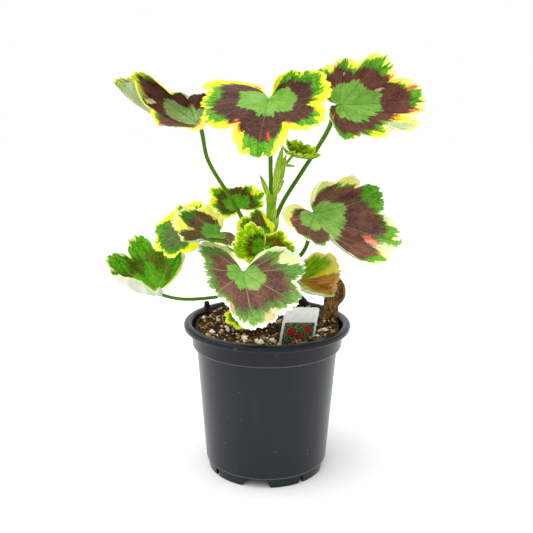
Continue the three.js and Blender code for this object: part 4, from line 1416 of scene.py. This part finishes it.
# Pointed scales at the nodes and the bud's sheath: base, tip, width and how brown each is.
SCALES = [
    ([2, -1.5, 179], [-3.8, -3, 194], 3.0, 0.7),
    ([5, -1.5, 180], [11.5, -3, 191], 3.0, 0.45),
    ([4, -2, 163], [6.5, -4, 176], 2.6, 0.3),
    ([12, 2, 199], [18.5, -1, 199], 1.6, 0.35),
    ([6, 0, 182], [12.5, -1.5, 207], 4.6, 0.1),
    ([5.5, 0.5, 182], [10, -1, 212], 4.6, 0.15),
    ([5, -1.6, 182], [8.6, -2.6, 207], 3.0, 0.1),
    ([-0.5, -2, 128], [5.5, -5, 137], 2.6, 0.3),
    ([4.6, -2.2, 157], [8.2, -4, 168], 3.4, 0.0),
]


def smooth_path(knots, steps):
    """Points evenly along a centripetal curve through the knots, ends included."""
    knots = [np.array(knot, float) for knot in knots]
    ends = [2 * knots[0] - knots[1], *knots, 2 * knots[-1] - knots[-2]]
    line = []
    for p0, p1, p2, p3 in zip(ends, ends[1:], ends[2:], ends[3:]):
        d0, d1, d2 = (max(np.linalg.norm(b - a) ** 0.5, 1e-4) for a, b in ((p0, p1), (p1, p2), (p2, p3)))
        t1 = ((p1 - p0) / d0 - (p2 - p0) / (d0 + d1) + (p2 - p1) / d1) * d1
        t2 = ((p2 - p1) / d1 - (p3 - p1) / (d1 + d2) + (p3 - p2) / d2) * d1
        for share in np.linspace(0, 1, 24, endpoint=False):
            curve = (2 * p1 - 2 * p2 + t1 + t2) * share**3 + (3 * p2 - 3 * p1 - 2 * t1 - t2) * share**2
            line.append(curve + t1 * share + p1)
    line.append(knots[-1])
    line = np.array(line)
    walked = np.concatenate([[0], np.cumsum(np.linalg.norm(np.diff(line, axis=0), axis=1))])
    even = np.linspace(0, walked[-1], steps)
    return np.stack([np.interp(even, walked, line[:, axis]) for axis in range(3)], 1), walked[-1]


def tube(path, radii, sides, flat=1.0, **tones):
    """A closed tube along a path. flat squeezes its section, whose broad side faces the camera."""
    along = np.gradient(path, axis=0)
    along /= np.linalg.norm(along, axis=1, keepdims=True)
    facing = np.array([0.0, -1.0, 0.0])
    points = []
    for centre, heading, radius in zip(path, along, radii):
        facing = facing - (facing @ heading) * heading
        facing /= np.linalg.norm(facing)
        side = np.cross(heading, facing)
        for corner in range(sides):
            angle = 2 * math.pi * corner / sides
            points.append(centre + radius * (math.cos(angle) * side + flat * math.sin(angle) * facing))
    count = len(path)
    attributes = {key: np.repeat(np.broadcast_to(value, count), sides) for key, value in tones.items()}
    edge = np.abs(np.cos(2 * math.pi * np.arange(sides) / sides)) if flat < 1 else np.zeros(sides)
    attributes["edge"] = np.tile(edge, count)
    return np.array(points), skin(count, sides, flipped=True), attributes


def bump_at(distance, width):
    return np.exp(-((distance / width) ** 2))


def stalk_tube(leaf):
    """A leaf's stalk from the stem to just under its blade."""
    start, middle, radius = leaf["stalk"]
    up = leaf_turn(leaf) @ np.array([0, 0, 1.0])
    at = np.array(leaf["at"], float)
    path, length = smooth_path([start, *middle, at - 5 * up, at - 0.15 * up], 60)
    walked = np.linspace(0, length, len(path))
    radii = radius * (1 + 0.5 * bump_at(walked, 5) + 0.25 * bump_at(length - walked, 1.5))
    fresh = 0.6 if leaf["size"]["teeth"] == SMALL_LEAF["teeth"] else 0.06
    return tube(path, radii, 16, fresh=fresh, brown=0.0)


def stem_mesh():
    """The stem with its nodes, its side shoot, all stalks and scales, as one mesh."""
    parts = []
    path, _ = smooth_path(STEM_PATH, 150)
    height = path[:, 2]
    knots = sum(bump_at(height - node, 2.2) for node in NODE_HEIGHTS)
    radii = 3.1 + 0.4 * knots + 0.5 * bump_at(height - CROWN_HEIGHT, 3.0)
    radii = radii * np.interp(height, [CROWN_HEIGHT + 1, CROWN_HEIGHT + 2], [1.0, 0.75])
    brown = np.clip(0.8 * knots * (height < 150), 0, 1) + np.interp(height, [96, 112], [0.6, 0.0])
    parts.append(tube(path, radii, 32, fresh=0.55, brown=np.clip(brown, 0, 1)))
    path, _ = smooth_path(SHOOT_PATH, 40)
    parts.append(tube(path, np.linspace(2.2, 1.7, 40), 20, fresh=0.6, brown=0.0))
    for leaf in LEAVES.values():
        parts.append(stalk_tube(leaf))
    for base, tip, width, brown in SCALES:
        base, tip = np.array(base, float), np.array(tip, float)
        bow = np.array([0, -0.08, 0.05]) * np.linalg.norm(tip - base)
        path, _ = smooth_path([base, (base + tip) / 2 + bow, tip], SCALE_STEPS)
        share = np.linspace(0, 1, SCALE_STEPS)
        radii = width / 2 * (0.3 * (1 - share) + np.sin(math.pi * share**0.9) ** 0.9) + 0.04
        parts.append(tube(path, radii, 12, flat=0.35, fresh=1.0, brown=brown * share))
    points, faces, attributes = joined(parts)
    return mesh_of("stem_and_stalks", points, faces, attributes, crease=60)


def stem_look():
    look = Look("hairy_green_stem")
    place = look.place()
    x, y, z = look.parts(place)
    fresh = look.attribute("fresh")
    lines = look.mottle(look.vector(x * 1100, y * 1100, z * 120), 1.0, 3, 0.6)
    tone = look.mottle(place, 160, 3)
    edge = look.attribute("edge") + (lines - 0.5) * 0.3
    dry = (look.attribute("brown") + (tone - 0.5) * 0.5).rise(0.25, 0.8)
    colour = look.over(
        look.blend(fresh, (72, 114, 0), (152, 202, 14)),
        (lines.rise(0.4, 0.7) * fresh * 0.7, (208, 230, 90)),
        (tone.rise(0.45, 0.7) * 0.35, (64, 114, 0)),
        (edge.rise(0.25, 0.6) * 0.5, (84, 140, 0)),
        (edge.rise(0.68, 0.92), (240, 240, 160)),
        (dry, (150, 106, 60)),
    )
    return look.finish(colour, 0.5, lines, 0.15, specular_ior_level=0.12, **LIVING)


# Pieces

piece(pot_mesh(), pot_look(), "pot", "pot")
piece(soil_mesh(), soil_look(), "soil", "soil")
bark, white, dark_bark = bark_look(), perlite_look(), dark_bark_look()
shown = [[x, y, float(soil_height(x, y)) + 0.7] for x, y in PERLITE]
for name, places, look, seed, size, length, thickness, raggedness in (
    ("bark_chips", scattered(420, 3, 0.3, 1.5), bark, 5, 2.2, 1.9, 0.45, 0.3),
    ("bark_crumbs", scattered(1700, 8, 0.2, 0.5), bark, 9, 1.15, 1.5, 0.65, 0.35),
    ("perlite_shown", shown, white, 2, 2.9, 1.4, 0.7, 0.45),
    ("perlite_small", scattered(70, 21, 0.0, 1.0), white, 4, 1.2, 1.1, 0.8, 0.3),
    ("bark_lumps", LUMPS, dark_bark, 6, 8.0, 1.1, 0.8, 0.25),
    ("bark_stub", STUB, dark_bark, 12, 3.6, 1.1, 0.9, 0.25),
):
    shape = {"Size": size, "Length": length, "Thickness": thickness, "Raggedness": raggedness}
    grains(name, places, look, seed, **shape)
piece(stump_mesh(), stump_look(), "dead_wood", "dead_stump")
piece(tag_mesh(), tag_look(), "tag", "plant_tag")
piece(stem_mesh(), stem_look(), "stem", "stem")
for number, (node, leaf) in enumerate(LEAVES.items()):
    seed = 10 * number + 3
    if node == "leaf_withering":
        look, slot = withered_look(node, seed), "blade_withered"
    else:
        look = blade_look(node, leaf, seed)
        grown = leaf["size"] is BIG_LEAF and node != "leaf_low_left"
        slot = "blade" if grown else "blade_young"
    piece(blade_mesh(node, leaf, seed), look, slot, node)

# Studio

CAMERA_AT = Vector((0.7, -476.6, 247.7))
CAMERA_PITCH = math.radians(13.32)
CAMERA_ROLL = math.radians(0.45)
CAMERA_SENSOR = 36
CAMERA_LENS = 51.65
FLOOR_HALF = 3.0

# The window's light: the way it falls, its power and how wide it spreads, in degrees.
SUN = ((0.3, 0.4, -1.0), 2.1, 80)


def add_camera():
    camera = put("camera", bpy.data.cameras.new("camera"))
    ahead = Vector((0, math.cos(CAMERA_PITCH), -math.sin(CAMERA_PITCH)))
    level_up = Vector((0, math.sin(CAMERA_PITCH), math.cos(CAMERA_PITCH)))
    right = math.cos(CAMERA_ROLL) * Vector((1, 0, 0)) + math.sin(CAMERA_ROLL) * level_up
    up = math.cos(CAMERA_ROLL) * level_up - math.sin(CAMERA_ROLL) * Vector((1, 0, 0))
    turn = Matrix((right, up, -ahead)).transposed().to_4x4()
    camera.matrix_world = Matrix.Translation(CAMERA_AT * MM + Vector(SHIFT)) @ turn
    camera.data.sensor_width = CAMERA_SENSOR
    camera.data.lens = CAMERA_LENS
    camera.data.clip_start = 0.02
    bpy.context.scene.camera = camera


def add_floor():
    side = FLOOR_HALF
    mesh = bpy.data.meshes.new("floor")
    corners = [(-side, -side, 0), (side, -side, 0), (side, side, 0), (-side, side, 0)]
    mesh.from_pydata(corners, [], [[0, 1, 2, 3]])
    look = Look("studio_white")
    tone = look.mottle(look.place(), 3, 2)
    look.finish(look.blend(tone, (246, 246, 246), (249, 249, 249)), 0.8)
    mesh.materials.append(look.material)
    put("floor", mesh)


def add_world():
    """White all round, but for the darker room behind and above the camera."""
    look = Look("studio", world=True)
    x, y, z = look.parts(look.node("ShaderNodeTexCoord", output="Generated"))
    room = (0.0 - y).rise(0.15, 0.75) * z.rise(0.0, 0.45)
    glow = look.blend(room, (1.0, 1.0, 1.0, 1.0), (0.5, 0.5, 0.5, 1.0))
    shell = look.node("ShaderNodeBackground", None, {"Color": glow, "Strength": 1.0})
    look.node("ShaderNodeOutputWorld", None, {"Surface": shell})
    bpy.context.scene.world = look.material
    bpy.context.scene.view_settings.view_transform = "Standard"


def add_sun(toward, power, spread):
    """A broad soft light that falls the given way."""
    light = bpy.data.lights.new("window", "SUN")
    light.energy = power
    light.angle = math.radians(spread)
    put("window", light).rotation_euler = Vector(toward).to_track_quat("-Z", "Y").to_euler()


add_camera()
add_floor()
add_world()
add_sun(*SUN)
